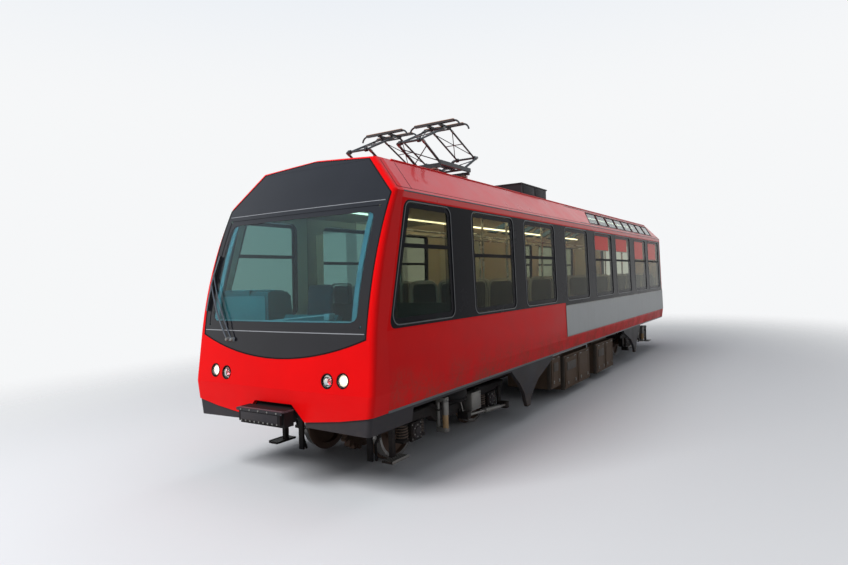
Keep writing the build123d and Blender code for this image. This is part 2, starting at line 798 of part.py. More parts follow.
wiper = None
for start, end, radius in WIPER_ARMS + [WIPER_BLADE]:
    bar = rod(on_screen(start, WIPER_STAND), on_screen(end, WIPER_STAND), radius)
    wiper = bar if wiper is None else wiper + bar
pivot_y = front_y(690, 705)
wiper += block(-780, -630, pivot_y - 50, pivot_y - 12, up(670), up(715))
save("wiper", wiper)

# Sliding door leaves in the hidden side's doorway
door_mid = (DOOR_FRONT + DOOR_REAR) / 2
LEAVES = [("front", DOOR_FRONT - 40, door_mid - 1), ("rear", door_mid + 1, DOOR_REAR + 40)]
for name, front, rear in LEAVES:
    leaf = along(
        side_section(FLOOR_TOP + 12, DOOR_HIGH + 30, DOOR_INSET, DOOR_THICK), back(front), back(rear)
    )
    hole_front = front + (150 if name == "front" else 110)
    hole_rear = rear - (110 if name == "front" else 150)
    leaf = leaf - window_cutter(hole_front, hole_front, hole_rear, 0, 1000, 1500, 1900)
    glass = along(
        side_section(BAND_LOW, BAND_HIGH, DOOR_INSET + 12, GLASS), back(front), back(rear)
    )
    glass = glass & window_cutter(hole_front, hole_front, hole_rear, GAP, 1000, 1500, 1900)
    save(f"door_leaf_{name}", mirror(leaf, about=Plane.YZ))
    save(f"door_glass_{name}", mirror(glass, about=Plane.YZ))

# Wheelsets: an axle, two wheels and the rack pinion between them
WHEEL_PROFILE = [
    (455, 70), (455, 135), (500, 150), (515, 290), (465, 300), (465, FLANGE_RADIUS - 8),
    (473, FLANGE_RADIUS), (485, FLANGE_RADIUS - 4), (500, TREAD_RADIUS + 2), (595, TREAD_RADIUS - 3),
    (595, 300), (547, 290), (545, 150), (605, 135), (605, 70),
]
AXLE_PROFILE = [
    (0, 0), (0, HUB_RADIUS), (60, HUB_RADIUS), (60, AXLE_RADIUS), (455, AXLE_RADIUS), (455, 88), (605, 88),
    (605, 72), (690, 72), (690, 60), (862, 60), (870, 50), (870, 0),
]


def turned(profile):
    """A solid turned about X from (x, radius) points."""
    return revolve(outline(profile), axis=Axis.X)


def pinion():
    """The rack pinion: a ring of straight-flanked teeth round the axle's hub."""
    step = 2 * pi / PINION_TEETH
    tooth = [(-0.34, PINION_ROOT), (-0.17, PINION_TIP), (0.17, PINION_TIP), (0.34, PINION_ROOT)]
    points = []
    for index in range(PINION_TEETH):
        for share, radius in tooth:
            angle = (index + share) * step
            points.append((radius * sin(angle), radius * cos(angle)))
    ring = across(points, -PINION_WIDTH / 2, PINION_WIDTH / 2)
    return ring - Rot(0, 90, 0) * Cylinder(HUB_RADIUS + HUB_FIT, 2 * PINION_WIDTH)


half_set = turned(AXLE_PROFILE) + turned(WHEEL_PROFILE)
wheels_and_axle = half_set + mirror(half_set, about=Plane.YZ)
rack_pinion = pinion()

number = 0
for name, centre in BOGIES:
    for step in (-1, 1):
        number += 1
        place = Pos(0, back(centre + step * WHEELBASE_HALF), AXLE_Z)
        save(f"wheelset_{number}", place * wheels_and_axle, place * rack_pinion)

# Bogie frame: side beams, cross tubes, axleboxes, springs and rail guards
BEAM_LOW = 470
BEAM_HIGH = 610
BEAM_HALF_LENGTH = 1430
BEAM_HALF_WIDTH = 60
COIL_RINGS = 5
COIL_RADIUS = 67
COIL_WIRE = 14
COIL_LOW = 324
COIL_PITCH = 32

# Half section of the air spring as (radius, z), two lobes between its plates
AIR_RADIUS = 192
AIR_BULGE = 206
AIR_LOBES = [580, 682, 785]
AIR_NECK = [(170, 575), (170, 540), (0, 540), (0, 840), (170, 840), (170, 790)]
section = Polyline((AIR_RADIUS, AIR_LOBES[2]), *reversed(AIR_NECK), (AIR_RADIUS, AIR_LOBES[0]))
for low, high in zip(AIR_LOBES, AIR_LOBES[1:]):
    section += ThreePointArc((AIR_RADIUS, low), (AIR_BULGE, (low + high) / 2), (AIR_RADIUS, high))
air_spring = revolve(Plane.XZ * make_face(section), axis=Axis.Z)

# Fittings outside one side beam of the front bogie, about its middle: an upright damper, a long
# damper ahead of the rear wheel, a valve box and a step plate at the front corner
DAMPER = (955, -440)
LONG_DAMPER = [(965, 100, 335), (965, 1280, 245)]
LONG_DAMPER_BODY = [(965, 596, 297), (965, 1044, 263)]
fittings = rod((*DAMPER, 290), (*DAMPER, 470), 36) + rod((*DAMPER, 460), (*DAMPER, 620), 42)
for z in (270, 640):
    fittings += block(845, 985, DAMPER[1] - 35, DAMPER[1] + 35, z - 30, z + 30)
fittings += block(835, 862, DAMPER[1] - 25, DAMPER[1] + 25, 240, 660)
fittings += rod(*LONG_DAMPER, 17) + rod(*LONG_DAMPER_BODY, 34)
for (x, y, z), top in zip(LONG_DAMPER, (420, 510)):
    fittings += block(845, 995, y - 45, y + 45, z - 45, z + 45)
    fittings += block(840, 868, y - 45, y + 45, z - 45, top)
fittings += block(846, 974, 215, 475, 365, 600)
fittings += block(800, 946, -1560, -1240, 150, 172) + block(800, 850, -1420, -1360, 165, 520)

for name, centre in BOGIES:
    y_mid = back(centre)
    frame = None
    for side in (1, -1):
        x_low, x_high = SIDE_BEAM_X - BEAM_HALF_WIDTH, SIDE_BEAM_X + BEAM_HALF_WIDTH
        beam = across(
            [
                (y_mid - BEAM_HALF_LENGTH, 500), (y_mid - 620, BEAM_LOW), (y_mid - 480, 370),
                (y_mid + 480, 370), (y_mid + 620, BEAM_LOW), (y_mid + BEAM_HALF_LENGTH, 500),
                (y_mid + BEAM_HALF_LENGTH, 590), (y_mid + 560, BEAM_HIGH), (y_mid + 420, 540),
                (y_mid - 420, 540), (y_mid - 560, BEAM_HIGH), (y_mid - BEAM_HALF_LENGTH, 590),
            ],
            x_low, x_high,
        )
        for step in (-1, 1):
            y_axle = y_mid + step * WHEELBASE_HALF
            box = block(x_low - 20, x_high + 30, y_axle - 105, y_axle + 105, 268, 480)
            springs = [
                Pos(SIDE_BEAM_X, y_axle + shift, 400) * Cylinder(52, 200) for shift in (-165, 165)
            ]
            wing = block(x_low, x_high, y_axle - 225, y_axle + 225, 270, 306)
            beam = beam + box + wing + springs[0] + springs[1]
            for shift in (-165, 165):
                for ring in range(COIL_RINGS):
                    z_ring = COIL_LOW + ring * COIL_PITCH
                    beam += Pos(SIDE_BEAM_X, y_axle + shift, z_ring) * Cylinder(COIL_RADIUS, COIL_WIRE)
            beam = beam - Pos(SIDE_BEAM_X, y_axle, AXLE_Z) * Rot(0, 90, 0) * Cylinder(62, 170)
            beam += Pos(x_high + 36, y_axle, AXLE_Z) * Rot(0, 90, 0) * Cylinder(88, 12)
        beam += Pos(SIDE_BEAM_X, y_mid, 0) * air_spring
        beam += Pos(0, y_mid, 0) * (fittings if name == "front" else mirror(fittings, about=Plane.XZ))
        if side < 0:
            beam = mirror(beam, about=Plane.YZ)
        frame = beam if frame is None else frame + beam
    for step in (-1, 1):
        frame += rod((-SIDE_BEAM_X, y_mid + step * 130, 470), (SIDE_BEAM_X, y_mid + step * 130, 470), 75)
        frame += block(-850, 850, y_mid + step * 1405 - 35, y_mid + step * 1405 + 35, 510, 580)
        for side in (1, -1):
            x_guard = side * (GAUGE_HALF + 30)
            y_guard = y_mid + step * 1410
            frame += block(x_guard - 35, x_guard + 35, y_guard - 15, y_guard + 15, 90, 540)
    frame += Pos(0, y_mid, 640) * Cylinder(140, 380)
    frame += block(-160, 160, y_mid - 200, y_mid + 200, 420, 540)
    save(f"bogie_{name}_frame", frame)
    drives = []
    for step in (-1, 1):
        y_axle = y_mid + step * WHEELBASE_HALF
        y_motor = y_axle - step * MOTOR_BACK
        motor = Pos(0, y_motor, 400) * Rot(0, 90, 0) * Cylinder(MOTOR_RADIUS, 700)
        case = across(
            [
                (y_motor, 230), (y_axle, AXLE_Z - 135), (y_axle + step * 135, AXLE_Z),
                (y_axle, AXLE_Z + 135), (y_motor, 570),
            ],
            110, 210,
        )
        case = case - Pos(160, y_axle, AXLE_Z) * Rot(0, 90, 0) * Cylinder(AXLE_RADIUS + 8, 300)
        drives.append(motor + case)
    save(f"bogie_{name}_drives", *drives)

# Pantographs
base_z = up(PANTO_BASE)
lower = radians(PANTO_ANGLE)
knee_out = PANTO_FOOT + PANTO_LOWER_ARM * cos(lower)
knee_z = base_z + PANTO_LOWER_ARM * sin(lower)
upper = acos((knee_out - PANTO_HEAD_PIVOT) / PANTO_UPPER_ARM)
head_z = knee_z + PANTO_UPPER_ARM * sin(upper)
y_panto = back(PANTO_BACK)
ARM_WIDE = 195
ARM_MID = 145
HEAD_HALF = 320


def braces(x_mid, half, start, end, shares, radius):
    """Two crossed bars between an arm's side tubes; start and end are (y, z) of its pivots."""
    (y_a, z_a), (y_b, z_b) = [
        (start[0] + share * (end[0] - start[0]), start[1] + share * (end[1] - start[1]))
        for share in shares
    ]
    bars = [rod((x_mid - s * half, y_a, z_a), (x_mid + s * half, y_b, z_b), radius) for s in (-1, 1)]
    return bars[0] + bars[1]


def horn(x_mid, tip, y, z):
    """A contact strip's end, drooping along a quarter ellipse-like arc."""
    root = (x_mid + tip * (HEAD_HALF - 20), y, z + 57)
    crest = (x_mid + tip * (HEAD_HALF + 52), y, z + 36)
    end = (x_mid + tip * (HEAD_HALF + 84), y, z - 22)
    path = ThreePointArc(root, crest, end)
    return sweep(Plane(origin=root, z_dir=path % 0) * Circle(12), path=path)


for side, sign in (("right", 1), ("left", -1)):
    x_mid = sign * PANTO_HALF_GAP
    for end, step in (("front", -1), ("rear", 1)):
        y_foot = y_panto + step * PANTO_FOOT
        y_knee = y_panto + step * knee_out
        y_top = y_panto + step * PANTO_HEAD_PIVOT
        arm = rod((x_mid - ARM_WIDE - 20, y_foot, base_z), (x_mid + ARM_WIDE + 20, y_foot, base_z), 16)
        arm += rod((x_mid - ARM_WIDE, y_knee, knee_z), (x_mid + ARM_WIDE, y_knee, knee_z), 15)
        for x in (x_mid - ARM_WIDE, x_mid + ARM_WIDE):
            arm += rod((x, y_foot, base_z), (x, y_knee, knee_z), 17)
        arm += braces(x_mid, ARM_WIDE, (y_foot, base_z), (y_knee, knee_z), (0.12, 0.76), 7)
        save(f"pantograph_{side}_{end}_lower_arm", arm)
        top = rod((x_mid - ARM_MID, y_top, head_z), (x_mid + ARM_MID, y_top, head_z), 11)
        for x in (x_mid - ARM_MID, x_mid + ARM_MID):
            top += rod((x, y_knee, knee_z), (x, y_top, head_z), 13)
            top += Pos(x, y_knee, knee_z) * Rot(0, 90, 0) * Cylinder(30, 38)
        top += braces(x_mid, ARM_MID, (y_knee, knee_z), (y_top, head_z), (0.1, 0.92), 6)
        top -= rod(
            (x_mid - ARM_WIDE, y_knee, knee_z), (x_mid + ARM_WIDE, y_knee, knee_z), 17
        )
        save(f"pantograph_{side}_{end}_upper_arm", top)
    head = None
    for step in (-1, 1):
        y_strip = y_panto + step * 130
        strip = block(x_mid - HEAD_HALF, x_mid + HEAD_HALF, y_strip - 28, y_strip + 28,
                      head_z + 45, head_z + 70)
        for tip in (-1, 1):
            strip += horn(x_mid, tip, y_strip, head_z)
        head = strip if head is None else head + strip
    for x in (x_mid - 95, x_mid + 95):
        head += block(x - 15, x + 15, y_panto - 150, y_panto + 150, head_z + 20, head_z + 50)
        head += Pos(x, y_panto - PANTO_HEAD_PIVOT, head_z) * Rot(0, 90, 0) * Cylinder(24, 30)
    head -= rod(
        (x_mid - ARM_MID, y_panto - PANTO_HEAD_PIVOT, head_z),
        (x_mid + ARM_MID, y_panto - PANTO_HEAD_PIVOT, head_z), 13,
    )
    save(f"pantograph_{side}_head", head)

SHEDS = [2702, 2729, 2756]
bases = []
for sign in (1, -1):
    x_mid = sign * PANTO_HALF_GAP
    base = None
    for x in (x_mid - ARM_WIDE - 48, x_mid + ARM_WIDE + 48):
        bar = block(x - 18, x + 18, y_panto - 420, y_panto + 420, base_z - 30, base_z + 26)
        base = bar if base is None else base + bar
    for step in (-1, 1):
        base += block(
            x_mid - ARM_WIDE - 48, x_mid + ARM_WIDE + 48,
            y_panto + step * 400 - 20, y_panto + step * 400 + 20, base_z - 70, base_z - 30,
        )
        for x in (x_mid - 150, x_mid + 150):
            y_foot = y_panto + step * 400
            base += Pos(x, y_foot, up(2720)) * Cylinder(38, 190)
            for shed in SHEDS:
                base += Pos(x, y_foot, up(shed)) * Cylinder(60, 10)
        base -= rod(
            (x_mid - ARM_WIDE - 30, y_panto + step * PANTO_FOOT, base_z),
            (x_mid + ARM_WIDE + 30, y_panto + step * PANTO_FOOT, base_z), 18,
        )
    bases.append(base - along(
        [(1500, up(SHOULDER) - 45.9), (SHOULDER_HALF, up(SHOULDER)), (0, up(CROWN)),
         (-SHOULDER_HALF, up(SHOULDER)), (-1500, up(SHOULDER) - 45.9),
         (-1500, up(1000)), (1500, up(1000))],
        back(0), back(6000),
    ))
save("pantograph_bases", *bases)
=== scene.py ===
"""Looks of a rack railway car around its packed construction, laid out as an add-on.

Every length is in metres. The car's own frame has X across, Y from the cab to the gangway and Z up
from the lowest point of the wheel flanges. Shapes on the body are drawn with Y counted from the
cantrail's front corner and Z from the sill, and piece() moves them to their place.
"""

import json

import bmesh
import bpy
import numpy as np
from bpy.props import BoolProperty, FloatProperty, FloatVectorProperty, PointerProperty
from mathutils import Matrix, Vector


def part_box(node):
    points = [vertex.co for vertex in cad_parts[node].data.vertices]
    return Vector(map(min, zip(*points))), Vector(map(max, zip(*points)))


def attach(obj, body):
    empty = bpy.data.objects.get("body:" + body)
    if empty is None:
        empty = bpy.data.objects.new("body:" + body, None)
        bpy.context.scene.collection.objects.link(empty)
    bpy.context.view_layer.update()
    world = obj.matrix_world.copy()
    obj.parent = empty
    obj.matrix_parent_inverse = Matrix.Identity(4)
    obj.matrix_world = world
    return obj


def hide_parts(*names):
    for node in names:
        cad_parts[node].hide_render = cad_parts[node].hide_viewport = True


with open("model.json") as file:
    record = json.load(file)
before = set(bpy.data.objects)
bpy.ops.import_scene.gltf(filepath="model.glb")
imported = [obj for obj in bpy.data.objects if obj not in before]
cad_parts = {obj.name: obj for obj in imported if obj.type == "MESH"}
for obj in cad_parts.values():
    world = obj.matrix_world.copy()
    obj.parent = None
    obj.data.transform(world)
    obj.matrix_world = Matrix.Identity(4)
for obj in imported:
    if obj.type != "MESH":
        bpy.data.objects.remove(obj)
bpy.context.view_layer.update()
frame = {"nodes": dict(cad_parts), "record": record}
NODES = frame["nodes"]

bl_info = {
    "name": "Rack railway car",
    "version": (1, 0, 0),
    "blender": (4, 5, 0),
    "location": "3D View > Sidebar > Railcar",
    "description": "Dresses a rack railway car with trim, finishes and a studio",
    "category": "Object",
}

# Levels and lengths of the body, measured from the sill and from the cantrail's front corner
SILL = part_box("lower_wall_right")[0].z
BODY_LENGTH = 12.94
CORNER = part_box("rear_wall")[1].y - BODY_LENGTH
ORIGIN = (0.0, CORNER, SILL)
CREASE = 0.20
WINDOW_LOW = 0.857
WINDOW_HIGH = 2.101
CANTRAIL = 2.22
SHOULDER = 2.64
CROWN = 2.70
FLOOR = 0.14
CANTRAIL_HALF = 1.25
SHOULDER_HALF = 0.85
SIDE_HEIGHTS = [0.0, CREASE, CANTRAIL]
SIDE_HALVES = [1.27, 1.30, CANTRAIL_HALF]
BEVEL_OUT = (0.72, 0, 0.69)

# Side windows: name, front edge at the bottom, front edge at the top, rear edge, height of its
# bar or zero
WINDOWS = [
    ("w1", -0.250, 0.120, 1.000, 1.65),
    ("w2", 1.530, 1.530, 2.760, 1.57),
    ("w3", 3.150, 3.150, 4.400, 1.57),
    ("w4", 4.920, 4.920, 6.180, 0.0),
    ("w5", 6.640, 6.640, 7.870, 1.57),
    ("w6", 8.190, 8.190, 9.440, 1.57),
    ("w7", 9.880, 9.880, 11.060, 1.57),
    ("w8", 11.370, 11.370, 12.650, 1.57),
]
WINDOW_CORNER = 0.09
DOOR_WINDOW = "w4"
BLIND_DROPS = {"w5": 0.33, "w6": 0.33, "w7": 0.48, "w8": 0.48}
BLIND_GAP = 0.024
BLIND_BACK = 0.070
GLASS_BACK = 0.0085

# Pale panel along the side: its ends, its levels and its front end on the doorway's side
PANEL_FRONT = 4.80
PANEL_REAR = 12.93
PANEL_LOW = 0.24
PANEL_HIGH = 0.761
LEFT_PANEL_FRONT = 6.32

# Front face: side view on the middle line as height and distance back, and the place along the
# body of the axis about which it is turned
NOSE_LINE = [(-0.4, -0.640), (0.2, -0.652), (0.73, -0.582), (2.22, -0.105), (2.8, 0.18)]
NOSE_AXIS = 22.0 - CORNER
MASK_CROWN = 2.672
MASK_TOP = (0.80, 2.61)
MASK_CORNERS = [
    (1.19, 0.735), (1.208, 2.19), MASK_TOP, (0.0, MASK_CROWN), (-0.80, 2.61), (-1.208, 2.19),
    (-1.19, 0.735),
]
SMILE_LOW = 0.512
MASK_BACK = 2.60
SCREEN_LOW, SCREEN_HIGH = (1.12, 0.84), (1.13, 2.06)

# Lines across the black field: half-width, how far they stand out, and level
FRONT_LINES = [(0.0045, 0.004, 0.785), (0.0035, 0.003, 2.11)]

# Lamps and wiper: places on the front as distance from the middle and height
LAMPS = {"head": (0.940, 0.335), "tail": (0.745, 0.322), "tail bulb": (0.759, 0.314)}
WIPER_PIVOTS = [(-0.745, 0.690), (-0.665, 0.690)]
WIPER_TIPS = [(-1.148, 1.300), (-1.136, 1.400)]
WIPER_BLADE = [(-1.168, 1.000), (-1.124, 1.640)]

# Panes of the sloping roof edge
PANES = 8
PANES_FRONT = 6.6
PANES_REAR = 12.8
PANE_RAKE = 0.55

# Cases under the floor: front, rear, low, high and half-width
CASES = [
    (4.40, 4.86, -0.61, -0.07, 1.13), (4.92, 6.33, -0.70, -0.12, 1.18),
    (6.80, 8.00, -0.70, -0.12, 1.18),
]

# Pipes along the solebars: height, radius and distance from the middle
SOLEBAR_PIPES = [(-0.012, 0.014, 1.108), (-0.046, 0.011, 1.104)]

# Running gear: name, middle and facing of each bogie, and the air springs' rings by lower and
# upper face and inner and outer radius; heights here are above the flanges
BOGIES = [("front", 1.7, 1), ("rear", 11.4, -1)]
WHEELBASE_HALF = 0.975
AXLE_Z = 0.378
AIR_SPRING_RINGS = [
    (0.562, 0.578, 0.165, 0.206), (0.788, 0.804, 0.165, 0.206),
    (0.676, 0.688, 0.188, 0.199),
]
BEAM_X = 0.79
DAMPER_PLACE = (0.955, -0.44, 0)
DAMPER_PINS = (0.27, 0.64)

# Pantographs: middle along the body, distance from the car's middle, level of the pivots, sizes
# of the arms and the rise of knees and head in the photograph's position
PANTO_BACK = 2.2
PANTO_HALF_GAP = 0.43
PANTO_BASE = 2.845
PANTO_FOOT = 0.30
ARM_WIDE = 0.195
ARM_MID = 0.145
LOWER_ARM = 0.52
ARM_ANGLE = np.radians(28)
HEAD_PIVOT = 0.06
KNEE_OUT = PANTO_FOOT + LOWER_ARM * np.cos(ARM_ANGLE)
KNEE_RISE = LOWER_ARM * np.sin(ARM_ANGLE)
UPPER_ARM = LOWER_ARM + PANTO_FOOT - HEAD_PIVOT
HEAD_RISE = KNEE_RISE + np.sqrt(UPPER_ARM**2 - (KNEE_OUT - HEAD_PIVOT) ** 2)

# Roof gear: places of the insulators about a collector and the levels of their skirts, the
# posts of the leads, and the roof box with the spans and levels of its louvres
FOOT_X = 0.15
FOOT_Y = 0.40
SHEDS = [2.702, 2.729, 2.756]
POST_X = 0.22
POST_Y = 3.62
LEAD_RADIUS = 0.011
ROOF_BOX_HALF = 0.80
ROOF_LOUVRES = [(4.26, 4.70), (4.78, 5.22)]
LOUVRE_LEVELS = (2.70, 2.80)

# Gangway: half-width and top of its opening, and the rear end and pleats of its bellows
GANGWAY_HALF = 0.43
GANGWAY_TOP = 2.08
BELLOWS_REAR = 13.258
PLEATS = 9

# Door leaves: name, front and rear edge of the pane, and middle of the handle
DOOR_LEAVES = [("front", 5.01, 5.439, 5.499), ("rear", 5.661, 6.09, 5.601)]

# Seats: distance back of a row's hip line and which way it faces, the middles of its places,
# and the powers of the pillows' plan and profile
SEAT_ROWS = [
    (1.700, 1), (2.965, -1), (3.245, 1), (4.560, -1), (6.700, 1), (7.965, -1),
    (8.245, 1), (9.510, -1), (9.790, 1), (11.055, -1), (11.335, 1), (12.600, -1),
]
SEAT_PLACES = (0.48, 0.92)
SEAT_HALF = 0.186
DRIVER_X = -0.70
PLAN_POWER = 0.30
PROFILE_POWER = 0.55
WAIST = 0.03
CLOTH_THICK = 0.0012

# Handrails, draught screens and cove lights: their places along the body
POSTS = (1.42, 4.76, 6.44, 12.72)
HANDRAIL_X = 0.24
SCREENS = (4.715, 6.485)
COVE_RUNS = [(1.45, 4.70), (4.72, 7.20), (7.22, 9.75), (11.30, 12.66)]


def xyz(x, y, z):
    """Points from three coordinates, each a number or an array."""
    return np.stack(np.broadcast_arrays(*(np.asarray(one, float) for one in (x, y, z))), -1)


def side_half(height):
    """Half-width of the body at heights above the sill: straight runs between three levels."""
    return np.interp(height, SIDE_HEIGHTS, SIDE_HALVES)


def roof_height(x):
    """Height of the roof panel: straight from the shoulder to the crown."""
    return CROWN - (CROWN - SHOULDER) * np.abs(x) / SHOULDER_HALF


def bevel_height(x):
    """Height of the sloping roof edge: straight from the cantrail to the shoulder."""
    return CANTRAIL + (CANTRAIL_HALF - x) * (SHOULDER - CANTRAIL) / (CANTRAIL_HALF - SHOULDER_HALF)


def front_y(height, x=0.0):
    """Y of the front face: two straight runs, an arc tangent to the second and a straight run
    above it, each turned about the far axis: A - sqrt((A - y)² - x²)."""
    height, x = np.broadcast_arrays(np.asarray(height, float), np.asarray(x, float))
    heights, backs = np.array(NOSE_LINE).T
    (low_h, low_d), (high_h, high_d) = NOSE_LINE[2], NOSE_LINE[3]
    start = np.arctan2(low_d - backs[1], low_h - heights[1])
    turn = 2 * (np.arctan2(high_d - low_d, high_h - low_h) - start)
    radius = np.hypot(high_h - low_h, high_d - low_d) / (2 * np.sin(turn / 2))
    lean = np.arcsin(np.clip((height - low_h) / radius + np.sin(start), -1, 1))
    arc = low_d + radius * (np.cos(start) - np.cos(lean))
    on_arc = (height > low_h) & (height < high_h)
    reach = NOSE_AXIS - np.where(on_arc, arc, np.interp(height, heights, backs))
    return NOSE_AXIS - np.sqrt(reach**2 - x**2)


def smile(x):
    """Lower edge of the black field: the circle through its two corners and its lowest point."""
    half, rise = MASK_CORNERS[0][0], MASK_CORNERS[0][1] - SMILE_LOW
    radius = (half**2 + rise**2) / (2 * rise)
    return SMILE_LOW + radius - np.sqrt(radius**2 - np.asarray(x) ** 2)


def on_side(y, height, out=0.0, sign=1):
    """Points on the side skin, moved out from it along X."""
    return xyz(sign * (side_half(height) + out), y, height)


def on_front(x, height, out=0.0):
    """Points on the front face, moved out from it along -Y."""
    return xyz(x, front_y(height, x) - out, height)


# Shapes: each is an array of points and a list of arrays of faces with equal corner counts


def merged(*shapes):
    """Several shapes as one: points stacked and corner numbers shifted to match."""
    points, groups, count = [], [], 0
    for own, faces in shapes:
        points.append(own)
        groups += [group + count for group in faces]
        count += len(own)
    return np.concatenate(points), groups


def moved(shape, by):
    """The shape moved by a vector."""
    return shape[0] + np.asarray(by, float), shape[1]


def mirrored(*shapes):
    """Shapes as one, with their mirror image on the other side of the car."""
    points, groups = merged(*shapes)
    return merged((points, groups), (points * (-1, 1, 1), [group[:, ::-1] for group in groups]))


def leaned(shape, degrees, about=(0, 0, 0)):
    """The shape turned about an axis along X through a point."""
    turn = np.array(Matrix.Rotation(np.radians(degrees), 3, "X"))
    about = np.asarray(about, float)
    return (shape[0] - about) @ turn.T + about, shape[1]


def scattered(shape, places):
    """Copies of one shape at many places, as one shape."""
    points, groups = shape
    places = np.asarray(places, float)
    own = (points[None] + places[:, None]).reshape(-1, 3)
    shift = (np.arange(len(places)) * len(points))[:, None, None]
    return own, [(group[None] + shift).reshape(-1, group.shape[1]) for group in groups]


def laid_on_front(*shapes):
    """Shapes given as (x, depth behind the face, height above the sill), bent onto the front."""
    points, groups = merged(*shapes)
    x, depth, height = points.T
    return xyz(x, front_y(height, x) + depth, height), groups


def grid(points, wrap_rows=False, wrap_columns=False):
    """Quads between neighbours in a grid of points with rows and columns."""
    rows, columns = points.shape[:2]
    number = np.arange(rows * columns).reshape(rows, columns)
    if wrap_rows:
        number = np.vstack([number, number[:1]])
    if wrap_columns:
        number = np.hstack([number, number[:, :1]])
    quads = np.stack([number[:-1, :-1], number[:-1, 1:], number[1:, 1:], number[1:, :-1]], -1)
    return points.reshape(-1, 3), [quads.reshape(-1, 4)]


def capped(points):
    """A grid whose columns close round, with a flat face at each end."""
    rows, columns = points.shape[:2]
    own, faces = grid(points, wrap_columns=True)
    ring = np.arange(columns)
    return own, faces + [ring[None, ::-1], (ring + (rows - 1) * columns)[None]]


def unit(vectors):
    """Vectors scaled to length one."""
    length = np.linalg.norm(vectors, axis=-1, keepdims=True)
    return vectors / np.maximum(length, 1e-12)


def carried(section, path, top=(0, 0, 1), closed=False):
    """A section carried along a path: each ring is path + side·u + top·v, where the tangent is
    the mean of the two runs that meet there and u is widened by 1/cos of half their turn."""
    path = np.asarray(path, float)
    section = np.asarray(section, float)
    ahead = unit(np.roll(path, -1, axis=0) - path)
    behind = np.roll(ahead, 1, axis=0)
    if not closed:
        ahead[-1] = ahead[-2]
        behind[0] = ahead[0]
    tangent = unit(ahead + behind)
    side = unit(np.cross(tangent, np.broadcast_to(np.asarray(top, float), path.shape)))
    rise = np.cross(side, tangent)
    widen = 1 / np.clip((ahead * tangent).sum(-1), 0.5, 1)
    rings = (
        path[:, None]
        + side[:, None] * section[None, :, :1] * widen[:, None, None]
        + rise[:, None] * section[None, :, 1:]
    )
    return grid(rings, True, True) if closed else capped(rings)


def round_section(radius, sides=10):
    """A circle of points as a section."""
    turn = np.linspace(0, 2 * np.pi, sides, endpoint=False)
    return radius * np.stack([np.cos(turn), np.sin(turn)], -1)


def rect(low, high):
    """The corners of a rectangle, from its low corner along, up and back."""
    return [(low[0], low[1]), (high[0], low[1]), (high[0], high[1]), (low[0], high[1])]


def strip(half_width, low, high, path, top, closed=False):
    """A flat bar along a path: a rectangle from low to high above it, squared to a direction."""
    return carried(rect((-half_width, low), (half_width, high)), path, top, closed)


def tube(path, radius, sides=10):
    """A round bar along a path, its rings squared to the axis that the path runs along least."""
    path = np.asarray(path, float)
    reach = np.abs(np.diff(path, axis=0)).sum(0)
    return carried(round_section(radius, sides), path, np.eye(3)[np.argmin(reach)])


def bent(points, radius, steps=6):
    """A path with round bends: at each inner point an arc tangent to its two runs, written as
    ((sin((1-t)a)·start + sin(t·a)·end) / sin(a)) about its centre, with a the bend's turn."""
    points = np.asarray(points, float)
    corners = points[1:-1]
    before = unit(points[:-2] - corners)
    after = unit(points[2:] - corners)
    half = 0.5 * np.arccos(np.clip((before * after).sum(-1), -0.9999, 0.9999))[:, None]
    radius = np.broadcast_to(np.asarray(radius, float), len(corners))[:, None]
    centre = corners + unit(before + after) * radius / np.sin(half)
    start = corners + before * radius / np.tan(half) - centre
    end = corners + after * radius / np.tan(half) - centre
    share = np.linspace(0, 1, steps)[None, :, None]
    turn = (np.pi - 2 * half)[:, None]
    arc = np.sin((1 - share) * turn) * start[:, None] + np.sin(share * turn) * end[:, None]
    arcs = (centre[:, None] + arc / np.sin(turn)).reshape(-1, points.shape[1])
    return np.concatenate([points[:1], arcs, points[-1:]])


def rounded(corners, radius, steps=7):
    """A closed outline with round corners, made as a bent path through its own start."""
    corners = np.asarray(corners, float)
    loop = np.concatenate([corners[-1:], corners, corners[:1]])
    return bent(loop, radius, steps)[1:-1]


def resampled(outline, count):
    """A closed outline with points at equal steps of its angle about its middle."""
    middle = (outline.max(0) + outline.min(0)) / 2
    angle = np.unwrap(np.arctan2(*(outline - middle).T[::-1]))
    order = np.argsort(angle)
    want = np.linspace(angle[order[0]], angle[order[0]] + 2 * np.pi, count, endpoint=False)
    around = np.concatenate([angle[order], [angle[order[0]] + 2 * np.pi]])
    loop = np.concatenate([outline[order], outline[order[:1]]])
    return np.stack([np.interp(want, around, loop[:, 0]), np.interp(want, around, loop[:, 1])], -1)


def arc_through(first, middle, last, count=12):
    """Points of the circle through three points of a plane. With the chord from first to last,
    the centre is where its perpendicular meets that of the chord to the middle point."""
    first, middle, last = (np.asarray(p, float) for p in (first, middle, last))
    rows = 2 * np.stack([middle - first, last - first])
    known = np.array([middle @ middle - first @ first, last @ last - first @ first])
    centre = np.linalg.solve(rows, known)
    angles = np.unwrap([np.arctan2(*(p - centre)[::-1]) for p in (first, middle, last)])
    turn = np.linspace(angles[0], angles[2], count)
    return centre + np.linalg.norm(first - centre) * np.stack([np.cos(turn), np.sin(turn)], -1)


